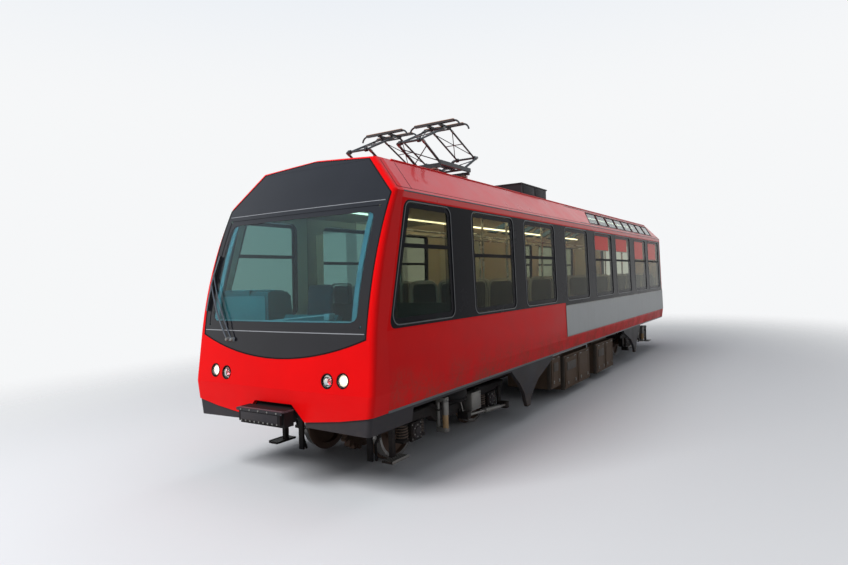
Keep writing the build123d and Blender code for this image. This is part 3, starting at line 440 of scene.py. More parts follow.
def turned(profile, centre=(0, 0, 0), axis=2, sides=32):
    """A profile of (along, radius) rows turned about an axis through a centre: the other two
    coordinates are radius·cos and radius·sin of the turn."""
    profile = np.asarray(profile, float)
    turn = np.linspace(0, 2 * np.pi, sides, endpoint=False)
    points = np.zeros((len(profile), sides, 3))
    points[..., axis] = profile[:, :1]
    points[..., (axis + 1) % 3] = profile[:, 1:] * np.cos(turn)
    points[..., (axis + 2) % 3] = profile[:, 1:] * np.sin(turn)
    return moved(grid(points, wrap_columns=True), centre)


def solid(low, high, radius):
    """The profile of a plain cylinder."""
    return [(low, 0.0), (low, radius), (high, radius), (high, 0.0)]


def ring(low, high, inner, outer):
    """The profile of a flat ring."""
    return [(low, inner), (low, outer), (high, outer), (high, inner), (low, inner)]


def block(low, high, edge=0.004, steps=3):
    """A box with round edges: layers of a rounded rectangle whose corner arcs share their
    centres, drawn in by edge·(1 - sin t) at a rise of edge·(1 - cos t)."""
    low, high = np.asarray(low, float), np.asarray(high, float)
    middle, half = (low + high) / 2, (high - low) / 2
    edge = min(edge, half.min() * 0.98)
    lean = np.linspace(0, np.pi / 2, steps)
    radius = np.concatenate([edge * np.sin(lean), edge * np.sin(lean)[::-1]])
    rise = edge * (1 - np.cos(lean))
    level = np.concatenate([-half[2] + rise, (half[2] - rise)[::-1]])
    turn = (np.arange(4)[:, None] * np.pi / 2 + lean).ravel()
    corner = np.repeat([(1, 1), (-1, 1), (-1, -1), (1, -1)], steps, axis=0) * (half[:2] - edge)
    outline = corner + radius[:, None, None] * np.stack([np.cos(turn), np.sin(turn)], -1)
    return capped(xyz(outline[..., 0], outline[..., 1], level[:, None]) + middle)


def plate(outline, place, thick):
    """A closed flat outline as a plate: place turns (u, v) and a depth into points."""
    return capped(np.stack([place(*np.transpose(outline), depth) for depth in (0.0, thick)]))


def band(outer, inner, place, thick):
    """A flat ring between two outlines of equal count, closed on all four faces."""
    edges = ((outer, 0.0), (inner, 0.0), (inner, thick), (outer, thick))
    return grid(np.stack([place(*line.T, depth) for line, depth in edges]), True, True)


def bolts(places, axis, radius=0.011, height=0.008):
    """Hexagon heads with a chamfer, standing out along an axis; a negative height points back."""
    profile = [(0, 0), (0, radius), (0.75 * height, radius), (height, 0.8 * radius), (height, 0)]
    return scattered(turned(profile, axis=axis, sides=6), places)


def coil(centre, radius, wire, length, turns, sides=7, steps=22):
    """A standing coil: (radius·cos t, radius·sin t, length·t/total) carried by a round wire."""
    turn = np.linspace(0, 2 * np.pi * turns, int(turns * steps))
    rise = np.linspace(-length / 2, length / 2, len(turn))
    path = xyz(radius * np.cos(turn), radius * np.sin(turn), rise)
    return carried(round_section(wire, sides), path + np.asarray(centre, float))


def louvres(x, span_y, span_z, count):
    """Slanted slats on a plane across X, each a bar of section (0,0), (d,-d), (d,-d-t), (0,-t),
    and the thin plate behind them."""
    depth, thick = 0.010, 0.004
    section = np.array([(0, 0), (depth, -depth), (depth, -depth - thick), (0, -thick)])
    slat = capped(xyz(section[:, 0], np.array(span_y)[:, None], section[:, 1]))
    slats = scattered(slat, xyz(x, 0, np.linspace(span_z[0] + depth, span_z[1], count)))
    low, high = (span_y[0] - 0.015, span_z[0] - 0.02), (span_y[1] + 0.015, span_z[1] + 0.015)
    return merged(slats, block((x, *low), (x + 0.006, *high), 0.002))


def piece(name, finish, slot, *shapes, body="car_body", replaces=(), sharp=35, origin=ORIGIN):
    """A new object from shapes: doubles merged, faces turned outwards, smooth up to an angle."""
    points, groups = merged(*shapes)
    corners = np.concatenate([group.ravel() for group in groups])
    counts = np.concatenate([np.full(len(group), group.shape[1]) for group in groups])
    mesh = bpy.data.meshes.new(name)
    mesh.vertices.add(len(points))
    mesh.vertices.foreach_set("co", (points + origin).astype(np.float32).ravel())
    mesh.loops.add(len(corners))
    mesh.loops.foreach_set("vertex_index", corners.astype(np.int32))
    mesh.polygons.add(len(counts))
    mesh.polygons.foreach_set("loop_start", (np.cumsum(counts) - counts).astype(np.int32))
    mesh.update(calc_edges=True)
    mesh.validate()
    work = bmesh.new()
    work.from_mesh(mesh)
    bmesh.ops.remove_doubles(work, verts=work.verts, dist=1e-5)
    bmesh.ops.dissolve_degenerate(work, edges=work.edges, dist=1e-6)
    bmesh.ops.recalc_face_normals(work, faces=work.faces)
    work.to_mesh(mesh)
    work.free()
    mesh.polygons.foreach_set("use_smooth", np.ones(len(mesh.polygons), bool))
    mesh.set_sharp_from_angle(angle=np.radians(sharp))
    made = bpy.data.objects.new(name, mesh)
    bpy.context.scene.collection.objects.link(made)
    mesh.materials.append(FINISHES[finish])
    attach(made, body)
    if replaces:
        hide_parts(*replaces)
    return made


# Finishes

FINISHES = {}
GROUPS = {}
DUST = (0.115, 0.082, 0.058)
LINING = (0.70, 0.63, 0.50)
BAND_FIELD = {
    "Front": CORNER - 0.300, "Slope": 0.285, "Low": SILL + 0.812, "High": SILL + 2.132,
    "Radius": 0.10,
}
INTERIORS = {
    "side": ((0.0, 0.0, 1.9), (1.0, 0.0, 0.0)),
    "roof": ((0.0, 0.0, 2.2), (1.0, 0.0, 1.0)),
    "nose": ((0.0, -4.2, 1.9), (1.0, 1.0, 0.4)),
    "rear": ((0.0, 0.0, 0.0), (0.0, 1.0, 0.0)),
}


def node(tree, kind, inputs=None, **settings):
    """A shader node with its settings and inputs; an input is a value or another node's socket."""
    made = tree.nodes.new(kind)
    for key, value in settings.items():
        setattr(made, key, value)
    for key, value in (inputs or {}).items():
        if isinstance(value, bpy.types.NodeSocket):
            tree.links.new(value, made.inputs[key])
        else:
            made.inputs[key].default_value = value
    return made


def sums(tree, operation, first, second=0.0):
    """The result of a math node."""
    return node(tree, "ShaderNodeMath", {0: first, 1: second}, operation=operation).outputs[0]


def vectors(tree, operation, first, second):
    """A vector math node's outputs."""
    made = node(tree, "ShaderNodeVectorMath", {0: first, 1: second}, operation=operation)
    return made.outputs


def ranged(tree, value, low, high, to_low=0.0, to_high=1.0, **settings):
    """A value brought from one range to another."""
    return node(tree, "ShaderNodeMapRange", {
        "Value": value, "From Min": low, "From Max": high, "To Min": to_low, "To Max": to_high,
    }, **settings).outputs["Result"]


def noise(tree, place, scale, detail, roughness=0.5):
    """Fractal noise at a place."""
    return node(tree, "ShaderNodeTexNoise", {
        "Vector": place, "Scale": scale, "Detail": detail, "Roughness": roughness,
    }).outputs["Fac"]


def parts_of(tree, vector):
    """A vector's three coordinates."""
    return node(tree, "ShaderNodeSeparateXYZ", {"Vector": vector}).outputs


def object_place(tree):
    """Coordinates on the piece itself."""
    return node(tree, "ShaderNodeTexCoord").outputs["Object"]


def grain_group(tree, given, where):
    """Fine grain: fractal noise on object coordinates, as a mask and as a height."""
    fine = noise(tree, where["Object"], given["Scale"], 4.0)
    return {"Mask": ranged(tree, fine, given["Low"], given["High"]), "Height": fine}


def dust_group(tree, given, where):
    """Dust that thickens downwards between two levels and lies in blotches and splash marks."""
    level = parts_of(tree, where["Object"])["Z"]
    fall = ranged(tree, level, given["High"], given["Low"])
    blotch = noise(tree, where["Object"], given["Scale"], 6.0, 0.62)
    splash = noise(tree, where["Object"], 26.0, 3.0)
    mix = sums(tree, "MULTIPLY", fall, ranged(tree, blotch, 0.36, 0.66))
    return {"Mask": sums(tree, "MULTIPLY", mix, ranged(tree, splash, 0.40, 0.62, 0.45))}


def streak_group(tree, given, where):
    """Rain streaks: noise drawn out along Z, thinned to a few runs."""
    squeeze = node(tree, "ShaderNodeMapping", {
        "Vector": where["Object"], "Scale": (1.0, 1.0, 0.06),
    })
    runs = noise(tree, squeeze.outputs["Vector"], given["Scale"], 5.0)
    return {"Mask": ranged(tree, runs, 0.5, 0.78)}


def inner_group(tree, given, where):
    """Marks faces that look towards a centre: one where (P - Centre)·Stretch·N is below zero."""
    away = vectors(tree, "SUBTRACT", where["Object"], given["Centre"])["Vector"]
    flat = vectors(tree, "MULTIPLY", away, given["Stretch"])["Vector"]
    dot = vectors(tree, "DOT_PRODUCT", flat, where["Normal"])["Value"]
    return {"Mask": sums(tree, "LESS_THAN", dot, -0.02)}


def weave_group(tree, given, where):
    """A plain weave: the product of two sine rows at right angles, on object coordinates."""
    scaled = node(tree, "ShaderNodeVectorMath", {
        0: where["Object"], "Scale": given["Scale"],
    }, operation="SCALE")
    parts = parts_of(tree, scaled.outputs["Vector"])
    rows = [sums(tree, "SINE", parts[axis]) for axis in "XYZ"]
    both = sums(tree, "MULTIPLY", sums(tree, "ADD", rows[0], rows[1]), rows[2])
    return {"Mask": ranged(tree, both, -1.0, 1.0), "Height": both}


def field_group(tree, given, where):
    """Marks what lies outside a field with rounded corners on the side. With u the distance
    behind the sloping front line and v that to the nearer of the two levels, a point is outside
    where the length of (max(R - u, 0), max(R - v, 0)) is more than R."""
    parts = parts_of(tree, where["Object"])
    climb = sums(tree, "SUBTRACT", parts["Z"], given["Low"])
    line = sums(tree, "ADD", given["Front"], sums(tree, "MULTIPLY", climb, given["Slope"]))
    behind = sums(tree, "SUBTRACT", parts["Y"], line)
    level = sums(tree, "MINIMUM", climb, sums(tree, "SUBTRACT", given["High"], parts["Z"]))
    squares = []
    for value in (behind, level):
        short = sums(tree, "MAXIMUM", sums(tree, "SUBTRACT", given["Radius"], value))
        squares.append(sums(tree, "MULTIPLY", short, short))
    corner = sums(tree, "SQRT", sums(tree, "ADD", *squares))
    return {"Mask": sums(tree, "GREATER_THAN", corner, given["Radius"])}


GROUP_MAKERS = {
    "grain": ("Surface grain", {"Scale": 40.0, "Low": 0.35, "High": 0.65}, grain_group),
    "dust": ("Track dust", {"Low": 0.2, "High": 1.4, "Scale": 3.0}, dust_group),
    "streaks": ("Rain streaks", {"Scale": 9.0}, streak_group),
    "inner": ("Inner faces", {"Centre": (0, 0, 0), "Stretch": (1, 0, 1)}, inner_group),
    "weave": ("Plain weave", {"Scale": 300.0}, weave_group),
    "field": (
        "Field edge", {"Front": 0.0, "Slope": 0.0, "Low": 0.0, "High": 1.0, "Radius": 0.1},
        field_group,
    ),
}


def new_group(label, inputs, build):
    """A shader group with inputs at their defaults and an output for each result of build."""
    tree = bpy.data.node_groups.new(label, "ShaderNodeTree")
    for key, value in inputs.items():
        kind = "NodeSocketVector" if isinstance(value, tuple) else "NodeSocketFloat"
        tree.interface.new_socket(key, in_out="INPUT", socket_type=kind).default_value = value
    given = tree.nodes.new("NodeGroupInput")
    made = build(tree, given.outputs, node(tree, "ShaderNodeTexCoord").outputs)
    for key in made:
        tree.interface.new_socket(key, in_out="OUTPUT", socket_type="NodeSocketFloat")
    result = tree.nodes.new("NodeGroupOutput")
    for key, socket in made.items():
        tree.links.new(socket, result.inputs[key])
    return tree


def group(tree, name, **inputs):
    """The outputs of a shared group placed in a material, with its own values."""
    if name not in GROUPS:
        GROUPS[name] = new_group(*GROUP_MAKERS[name])
    made = tree.nodes.new("ShaderNodeGroup")
    made.node_tree = GROUPS[name]
    for key, value in inputs.items():
        made.inputs[key].default_value = value
    return made.outputs


def mixed(tree, share, low, high, kind="RGBA"):
    """A colour or a number between two others; each is a value or a socket."""
    made = node(tree, "ShaderNodeMix", data_type="RGBA" if kind == "RGBA" else "FLOAT")
    for key, value in (("Factor", share), ("A", low), ("B", high)):
        own = "VALUE" if key == "Factor" else kind
        socket = next(s for s in made.inputs if s.name == key and s.type == own)
        if isinstance(value, bpy.types.NodeSocket):
            tree.links.new(value, socket)
        else:
            socket.default_value = value if own == "VALUE" else (*value[:3], 1.0)
    return next(s for s in made.outputs if s.type == kind)


def new_finish(name, **constants):
    """A new material under its name: its tree and its surface's inputs, with constants set."""
    FINISHES[name] = bpy.data.materials.new(name)
    FINISHES[name].use_nodes = True
    tree = FINISHES[name].node_tree
    surface = tree.nodes["Principled BSDF"].inputs
    for key, value in constants.items():
        surface[key.replace("_", " ")].default_value = value
    return tree, surface


def painted(name, colour, rough, coat=0.0, metal=0.0, grain=60.0, depth=0.02, vary=0.06,
            dust=0.0, dust_top=1.5, dust_low=0.2, streaks=0.0, inside=None, lining=LINING, shine=0.4,
            around=None):
    """A coated or bare surface: its colour varied by grain, with rain streaks and track dust
    over it, a fine bump, a second colour on faces that look into the car, and another around
    the window band's rounded field."""
    tree, surface = new_finish(
        name, Metallic=metal, Coat_Weight=coat, Coat_Roughness=0.04, Specular_IOR_Level=shine,
    )
    fine = group(tree, "grain", Scale=grain)
    broad = group(tree, "grain", Scale=grain * 0.04, Low=0.3, High=0.7)["Mask"]
    shade = mixed(tree, broad, [channel * (1 - 2.2 * vary) for channel in colour], colour)
    roughness = ranged(tree, broad, 0.0, 1.0, rough * 0.85, min(rough * 1.2, 1.0))
    if around:
        shade = mixed(tree, group(tree, "field", **BAND_FIELD)["Mask"], shade, around)
    if inside:
        centre, stretch = INTERIORS[inside]
        inner = group(tree, "inner", Centre=centre, Stretch=stretch)["Mask"]
        shade = mixed(tree, inner, shade, lining)
        roughness = mixed(tree, inner, roughness, 0.5, "VALUE")
        if coat:
            outer = sums(tree, "SUBTRACT", 1.0, inner)
            tree.links.new(sums(tree, "MULTIPLY", outer, coat), surface["Coat Weight"])
    if streaks:
        runs = sums(tree, "MULTIPLY", group(tree, "streaks")["Mask"], streaks)
        shade = mixed(tree, runs, shade, DUST)
    if dust:
        film = sums(tree, "MULTIPLY", group(tree, "dust", Low=dust_low, High=dust_top)["Mask"], dust)
        shade = mixed(tree, film, shade, DUST)
        roughness = mixed(tree, film, roughness, 0.85, "VALUE")
    tree.links.new(shade, surface["Base Color"])
    tree.links.new(roughness, surface["Roughness"])
    bump = node(tree, "ShaderNodeBump", {
        "Strength": 0.25, "Distance": depth * 0.01, "Height": fine["Height"],
    })
    tree.links.new(bump.outputs["Normal"], surface["Normal"])
    return tree, surface


def pane(name, tint, rough=0.0, through=0.8, bend=1.45):
    """Clear glass that lets lamps through: a plain bending shader, and for rays from lamps a
    see-through one in the tint."""
    tree, surface = new_finish(name, Roughness=rough, IOR=bend, Transmission_Weight=1.0)
    surface["Base Color"].default_value = (*tint, 1.0)
    clear = node(tree, "ShaderNodeBsdfTransparent", {
        "Color": (*[through * channel for channel in tint], 1.0),
    })
    both = node(tree, "ShaderNodeMixShader", {
        0: node(tree, "ShaderNodeLightPath").outputs["Is Shadow Ray"],
        1: tree.nodes["Principled BSDF"].outputs["BSDF"], 2: clear.outputs["BSDF"],
    })
    tree.links.new(both.outputs["Shader"], tree.nodes["Material Output"].inputs["Surface"])


def glowing(name, colour, strength):
    """A diffuser lit from behind: its own colour with a plain glow, varied by fine grain."""
    surface = painted(name, colour, 0.3, grain=90.0)[1]
    surface["Emission Color"].default_value = (*colour, 1.0)
    surface["Emission Strength"].default_value = strength


def woven(name, colour, thread, scale, sheen=0.3, painted_glow=0.0):
    """Cloth: two thread colours in a plain weave, with sheen, a bump from the weave and a painted
    glow in its own colour, which stands in for outdoor light shining through it."""
    # Emission in the cloth's own colour: a painted glow for outdoor light shining through the cloth
    tree, surface = new_finish(name, Roughness=0.85, Sheen_Weight=sheen, Emission_Strength=painted_glow)
    surface["Emission Color"].default_value = (*colour, 1.0)
    cloth = group(tree, "weave", Scale=scale)
    worn = sums(tree, "MULTIPLY", group(tree, "grain", Scale=5.0)["Mask"], 0.25)
    shade = mixed(tree, cloth["Mask"], colour, thread)
    tree.links.new(mixed(tree, worn, shade, DUST), surface["Base Color"])
    bump = node(tree, "ShaderNodeBump", {
        "Strength": 0.4, "Distance": 0.0006, "Height": cloth["Height"],
    })
    tree.links.new(bump.outputs["Normal"], surface["Normal"])


def above(tree, level):
    """One where a point of the piece lies above a level, or else zero."""
    return sums(tree, "GREATER_THAN", parts_of(tree, object_place(tree))["Z"], level)


def smoked_above(tree, surface, level, share):
    """Lets light through what lies above a level, as smoked glass does."""
    tree.links.new(ranged(tree, above(tree, level), 0.0, 1.0, 1.0, share), surface["Alpha"])


def floor_covering(tree, surface, level, colour):
    """Paints what lies above a level in a speckled floor colour, over the surface's own."""
    own = surface["Base Color"].links[0].from_socket
    speck = group(tree, "grain", Scale=220.0, Low=0.45, High=0.6)["Mask"]
    vinyl = mixed(tree, speck, colour, [2.2 * channel for channel in colour])
    tree.links.new(mixed(tree, above(tree, level - 0.001), own, vinyl), surface["Base Color"])


TINT = {"subtype": "COLOR", "size": 3, "min": 0, "max": 1}


class CarColours(bpy.types.PropertyGroup):
    """Colours that a user would change."""

    red: FloatVectorProperty(
        name="Body red", description="Top coat of the shell", default=(0.68, 0.002, 0.003), **TINT,
    )
    black: FloatVectorProperty(
        name="Band black", description="Window band and front field",
        default=(0.010, 0.010, 0.013), **TINT,
    )
    panel: FloatVectorProperty(
        name="Pale panel", description="Panel along the lower side",
        default=(0.37, 0.385, 0.385), **TINT,
    )
    lining: FloatVectorProperty(
        name="Lining", description="Inner walls and ceiling", default=LINING, **TINT,
    )
    seat: FloatVectorProperty(
        name="Seat cloth", description="Seat covers", default=(0.035, 0.040, 0.050), **TINT,
    )
    blind: FloatVectorProperty(
        name="Blind cloth", description="Roller blinds", default=(0.80, 0.008, 0.014), **TINT,
    )


class CarSizes(bpy.types.PropertyGroup):
    """Sizes of the trim that a user would change."""

    seal: FloatProperty(
        name="Window seal", description="Width of the pale line round each window",
        unit="LENGTH", default=0.012, min=0.002, max=0.04,
    )
    border: FloatProperty(
        name="Glass border", description="Width of the black border printed on each pane",
        unit="LENGTH", default=0.055, min=0.01, max=0.12,
    )
    bar: FloatProperty(
        name="Window bar", description="Height of the bar under the opening light",
        unit="LENGTH", default=0.044, min=0.01, max=0.08,
    )
    lit: BoolProperty(name="Lamps lit", description="Head lamps and ceiling lights on", default=True)


# CAD nodes with a finish other than their slot's own, then slots whose finish has another name
NODE_FINISHES = {
    "nose_shell": "red_nose", "lower_wall_right": "red_side", "lower_wall_left": "red_side",
    "roof_edge_right": "red_roof", "roof_edge_left": "red_roof", "roof_panel": "red_roof",
    "rear_wall": "red_rear", "door_leaf_front": "red_plain", "door_leaf_rear": "red_plain",
    "windscreen": "front_glass", "underframe": "underframe_paint", "wiper": "trim_black",
    "head_lamps": "lamp_glass", "tail_lamps": "red_lens", "cab_partition": "screen_grey",
}
SLOT_FINISHES = {
    "contact_strip": "strip_carbon", "lamp_white": "lamp_glass", "lamp_red": "red_lens",
}


def give_finish():
    """Makes every finish and puts it on the nodes of its slot."""
    colours, lit = bpy.context.scene.car_colours, bpy.context.scene.car_sizes.lit
    red, black, lining = tuple(colours.red), tuple(colours.black), tuple(colours.lining)
    painted("red_side", red, 0.34, coat=0.05, vary=0.05, dust=0.95, dust_top=1.30, dust_low=0.76,
            inside="side", lining=lining, shine=0.04)
    painted("red_roof", red, 0.30, coat=0.36, vary=0.05, streaks=0.08, inside="roof", lining=lining,
            shine=0.12)
    painted("red_nose", red, 0.34, coat=0.05, vary=0.04, dust=0.15, dust_top=1.05, inside="nose",
            lining=(0.05, 0.05, 0.055), shine=0.06)
    painted("red_plain", red, 0.34, coat=0.10, vary=0.04, inside="side", lining=red, shine=0.10)
    painted("red_rear", red, 0.34, coat=0.10, dust=0.3, inside="rear", lining=lining, shine=0.10)
    painted("black_band", black, 0.24, vary=0.1, inside="side", lining=lining, shine=0.03,
            around=red)
    painted("border_black", black, 0.24, vary=0.1, shine=0.03)
    painted("mask_black", black, 0.12, coat=0.50, vary=0.1, depth=0.005, shine=0.12)
    painted("trim_black", (0.010, 0.010, 0.011), 0.5, vary=0.1, shine=0.03)
    painted("pale_line", (0.30, 0.31, 0.33), 0.32, metal=0.4, shine=0.3)
    painted("seal_line", (0.10, 0.105, 0.11), 0.4, metal=0.3, shine=0.3)
    painted("grey_paint", (0.032, 0.030, 0.034), 0.45, dust=0.60, dust_top=0.9, shine=0.12)
    painted("pale_panel", tuple(colours.panel), 0.40, coat=0.05, dust=0.25, dust_top=1.3,
            streaks=0.1, shine=0.15)
    painted("cover_grey", (0.085, 0.070, 0.082), 0.42, dust=0.3, dust_top=0.9, shine=0.15)
    painted("case_paint", (0.085, 0.055, 0.036), 0.62, dust=0.6, dust_top=0.95, streaks=0.3,
            shine=0.15)
    painted("chassis_black", (0.012, 0.011, 0.012), 0.6, dust=0.30, dust_top=0.9, shine=0.12)
    painted("wheel_steel", (0.14, 0.085, 0.06), 0.6, metal=0.4, dust=0.3, dust_top=0.7, vary=0.2)
    painted("tread_steel", (0.55, 0.53, 0.50), 0.25, metal=1.0, vary=0.1)
    painted("cream_lining", lining, 0.5, vary=0.03)
    # desk_top is the desk's teal made lighter, painted light on the console's top and front;
    # desk_plastic's darker teal on the hood's side is painted shade
    painted("desk_plastic", (0.035, 0.120, 0.115), 0.45, depth=0.03)
    painted("desk_top", (0.13, 0.28, 0.26), 0.40, depth=0.03)
    painted("desk_dark", (0.03, 0.035, 0.038), 0.55, depth=0.03)
    screen = painted("screen_grey", (0.040, 0.048, 0.045), 0.40, depth=0.03, shine=0.2)
    smoked_above(*screen, SILL + 1.0, 0.28)
    painted("frame_grey", (0.50, 0.51, 0.49), 0.38, coat=0.3)
    painted("rail_steel", (0.62, 0.62, 0.60), 0.25, metal=1.0)
    painted("case_bright", (0.24, 0.235, 0.22), 0.42, metal=0.6, dust=0.4, shine=0.3)
    painted("case_dark", (0.045, 0.036, 0.028), 0.6, dust=0.6, dust_top=0.95)
    painted("wiper_paint", (0.13, 0.14, 0.16), 0.30, metal=0.7, depth=0.005)
    painted("spring_paint", (0.09, 0.060, 0.042), 0.5, dust=0.4, dust_top=0.8)
    painted("tan_damper", (0.42, 0.27, 0.13), 0.45, dust=0.4, dust_top=0.9)
    painted("bellows_rubber", (0.016, 0.016, 0.017), 0.7, streaks=0.15, dust=0.3, shine=0.2)
    painted("panto_metal", (0.07, 0.075, 0.078), 0.4, metal=0.6, vary=0.15)
    painted("strip_carbon", (0.05, 0.05, 0.052), 0.5, metal=0.3)
    painted("insulator", (0.17, 0.055, 0.03), 0.2, coat=0.8)
    painted("copper", (0.48, 0.22, 0.12), 0.35, metal=1.0)
    painted("reflector", (0.85, 0.85, 0.83), 0.08, metal=1.0, vary=0.02)
    under = painted("underframe_paint", (0.03, 0.029, 0.03), 0.6, dust=0.6, dust_top=0.9)
    floor_covering(*under, SILL + FLOOR, (0.06, 0.065, 0.07))
    pane("clear_glass", (0.37, 0.39, 0.31), bend=1.08)
    pane("front_glass", (0.24, 0.50, 0.56), bend=1.38)
    pane("roof_glass", (0.16, 0.24, 0.25), through=0.9, bend=1.2)
    pane("lamp_glass", (0.97, 0.97, 0.95))
    pane("red_lens", (0.75, 0.10, 0.14))
    glowing("light_diffuser", (1.0, 0.86, 0.60), 6.0 if lit else 0.0)
    glowing("lamp_glow", (1.0, 0.84, 0.68), 0.5 if lit else 0.0)
    woven("seat_fabric", tuple(colours.seat), (0.10, 0.11, 0.14), 900.0)
    woven("seat_cord", (0.015, 0.015, 0.018), (0.05, 0.05, 0.06), 1500.0)
    # The blinds glow with painted light that stands in for outdoor light shining through them
    woven("blind_red", tuple(colours.blind), (0.90, 0.02, 0.03), 1400.0, sheen=0.02, painted_glow=0.80)
    for part in frame["record"]["subparts"]:
        name, slot = part["node"], part["material_slot"]
        cad = NODES[name]
        cad.data.materials.clear()
        cad.data.materials.append(FINISHES[NODE_FINISHES.get(name, SLOT_FINISHES.get(slot, slot))])


# Sides and front


def window_outline(row, inset):
    """A side window's outline as (y, height) points, drawn in by an inset."""
    _, low_front, high_front, rear, _ = row
    corners = [
        (low_front + inset, WINDOW_LOW + inset), (rear - inset, WINDOW_LOW + inset),
        (rear - inset, WINDOW_HIGH - inset), (high_front + inset, WINDOW_HIGH - inset),
    ]
    return rounded(corners, max(WINDOW_CORNER - inset, 0.035))


def side_windows():
    """Seals, printed borders and bars of the side windows on both sides."""
    sizes = bpy.context.scene.car_sizes
    seals, borders, bars = [], [], []
    for row in WINDOWS:
        name, low_front, high_front, rear, bar = row
        outer, inner = window_outline(row, 0.004), window_outline(row, sizes.border)
        line = window_outline(row, -sizes.seal)
        for sign in (1,) if name == DOOR_WINDOW else (1, -1):
            out = (sign, 0, 0)
            path = on_side(*line.T, 0.0, sign)
            seals.append(strip(sizes.seal / 2, -0.004, 0.003, path, out, True))
            borders.append(band(
                outer, inner, lambda y, h, d, s=sign: on_side(y, h, d - GLASS_BACK, s), 0.0012
            ))
            if bar:
                start = low_front + (high_front - low_front) * 0.6 + 0.02
                path = on_side([start, rear - 0.02], bar, -0.012, sign)
                bars.append(strip(sizes.bar / 2, -0.016, 0.006, path, out))
    piece("window_seals", "seal_line", "frame_grey", *seals)
    piece("window_borders", "border_black", "black_band", *borders)
    piece("window_bars", "trim_black", "black_band", *bars)


def side_trim():
    """Edge lines of the pale panels, the dark strip above the right one, the sill strips and
    the lines under the roof edges."""
    lines, strips = [], []
    for sign, front in ((1, PANEL_FRONT), (-1, LEFT_PANEL_FRONT)):
        out = (sign, 0, 0)
        outline = rounded(rect((front, PANEL_LOW), (PANEL_REAR, PANEL_HIGH)), 0.012, 3)
        lines.append(strip(0.007, -0.003, 0.009, on_side(*outline.T, 0.0, sign), out, True))
        sill = on_side([-0.34, 12.88], 0.006, 0.0, sign)
        strips.append(strip(0.012, -0.006, 0.004, sill, out))
        strips.append(tube(xyz(sign * CANTRAIL_HALF, [0.08, 12.88], CANTRAIL), 0.008, 8))
    piece("panel_edges", "case_bright", "frame_grey", *lines)
    gap = strip(0.0235, -0.002, 0.0015, on_side([PANEL_FRONT, PANEL_REAR], 0.7895), (1, 0, 0))
    piece("panel_gap", "border_black", "black_band", gap)
    piece("side_strips", "seal_line", "frame_grey", *strips)


def line_on_front(half_width, low, high, x, height, closed=False):
    """A flat bar along a line of the front face, standing out from it."""
    return strip(half_width, low, high, on_front(x, height), (0, -1, 0.15), closed)


def screen_outline(inset, lift, drop, radius):
    """The windscreen's outline, drawn in at the sides, raised below and lowered above."""
    half = [(SCREEN_LOW[0] - inset, SCREEN_LOW[1] + lift),
            (SCREEN_HIGH[0] - inset, SCREEN_HIGH[1] - drop)]
    return resampled(rounded(half + [(-x, height) for x, height in half[::-1]], radius, 8), 160)


def front_trim():
    """Lines across the black field, its seal, its crown under the roof's edge, and the border
    printed on the windscreen."""
    x = np.linspace(-1.17, 1.17, 60)
    lines = [line_on_front(half, -0.004, out, x, height) for half, out, height in FRONT_LINES]
    piece("front_lines", "pale_line", "frame_grey", *lines)
    low = np.linspace(MASK_CORNERS[-1][0], MASK_CORNERS[0][0], 60)
    count = len(MASK_CORNERS)
    steps = np.linspace(0, count - 1, 121)[1:-1]
    over = [np.interp(steps, range(count), column) for column in np.transpose(MASK_CORNERS)]
    edge_x, edge_h = np.hstack([(low, smile(low)), over])
    seal = line_on_front(0.007, -0.008, 0.002, edge_x, edge_h, closed=True)
    piece("mask_seal", "trim_black", "black_band", seal)
    x = np.linspace(-MASK_TOP[0], MASK_TOP[0], 41)
    crown = MASK_CROWN - (MASK_CROWN - MASK_TOP[1]) * np.abs(x) / MASK_TOP[0]
    edges = ((MASK_BACK, 0.0012), (crown, 0.0012), (crown, -0.004), (MASK_BACK, -0.004))
    rings = [on_front(x, height, out) for height, out in edges]
    piece("mask_crown", "mask_black", "black_band", capped(np.stack(rings, axis=1)))
    outer, inner = screen_outline(0, 0, 0, 0.02), screen_outline(0.05, 0.05, 0.06, 0.09)
    frit = band(outer, inner, lambda x, h, d: on_front(x, h, d - 0.0065), 0.001)
    piece("screen_border", "mask_black", "black_band", frit)


def lamps():
    """Each lamp as turned rings laid on the front: bezel, bowl, bulb and lens."""
    bezel = [(0.012, 0.0735), (-0.003, 0.0715), (-0.004, 0.066), (0.004, 0.061), (0.03, 0.059),
             (0.03, 0.0735), (0.012, 0.0735)]
    bowl = [(0.024, 0.059), (0.040, 0.050), (0.056, 0.032), (0.060, 0.0), (0.064, 0.0),
            (0.060, 0.036), (0.044, 0.054), (0.03, 0.0625), (0.024, 0.059)]
    glow = [(0.016, 0.0), (0.018, 0.032), (0.024, 0.048), (0.030, 0.050), (0.034, 0.0)]
    lens = [(0.0, 0.0), (0.002, 0.035), (0.006, 0.0605), (0.010, 0.0605), (0.006, 0.035),
            (0.004, 0.0)]
    small = [(0.020, 0.0), (0.022, 0.022), (0.030, 0.033), (0.054, 0.036), (0.058, 0.0)]

    def laid(profile, *names, sides=40):
        """The profile turned at the named lamps on both sides, laid on the front."""
        rings = [turned(profile, (LAMPS[name][0], 0, LAMPS[name][1]), 1, sides) for name in names]
        return laid_on_front(mirrored(*rings))

    piece("lamp_bezels", "trim_black", "black_band", laid(bezel, "head", "tail"))
    piece("lamp_bowls", "reflector", "rail_steel", laid(bowl, "head", "tail"))
    piece("head_lamp_bulbs", "lamp_glow", "lamp_white", laid(glow, "head", sides=32))
    piece("tail_lamp_bulbs", "red_lens", "lamp_red", laid(small, "tail bulb", sides=28))
    for name in ("head", "tail"):
        piece(f"{name}_lamp_lenses", "lamp_glass", "lamp_white", laid(lens, name),
              replaces=[f"{name}_lamps"])


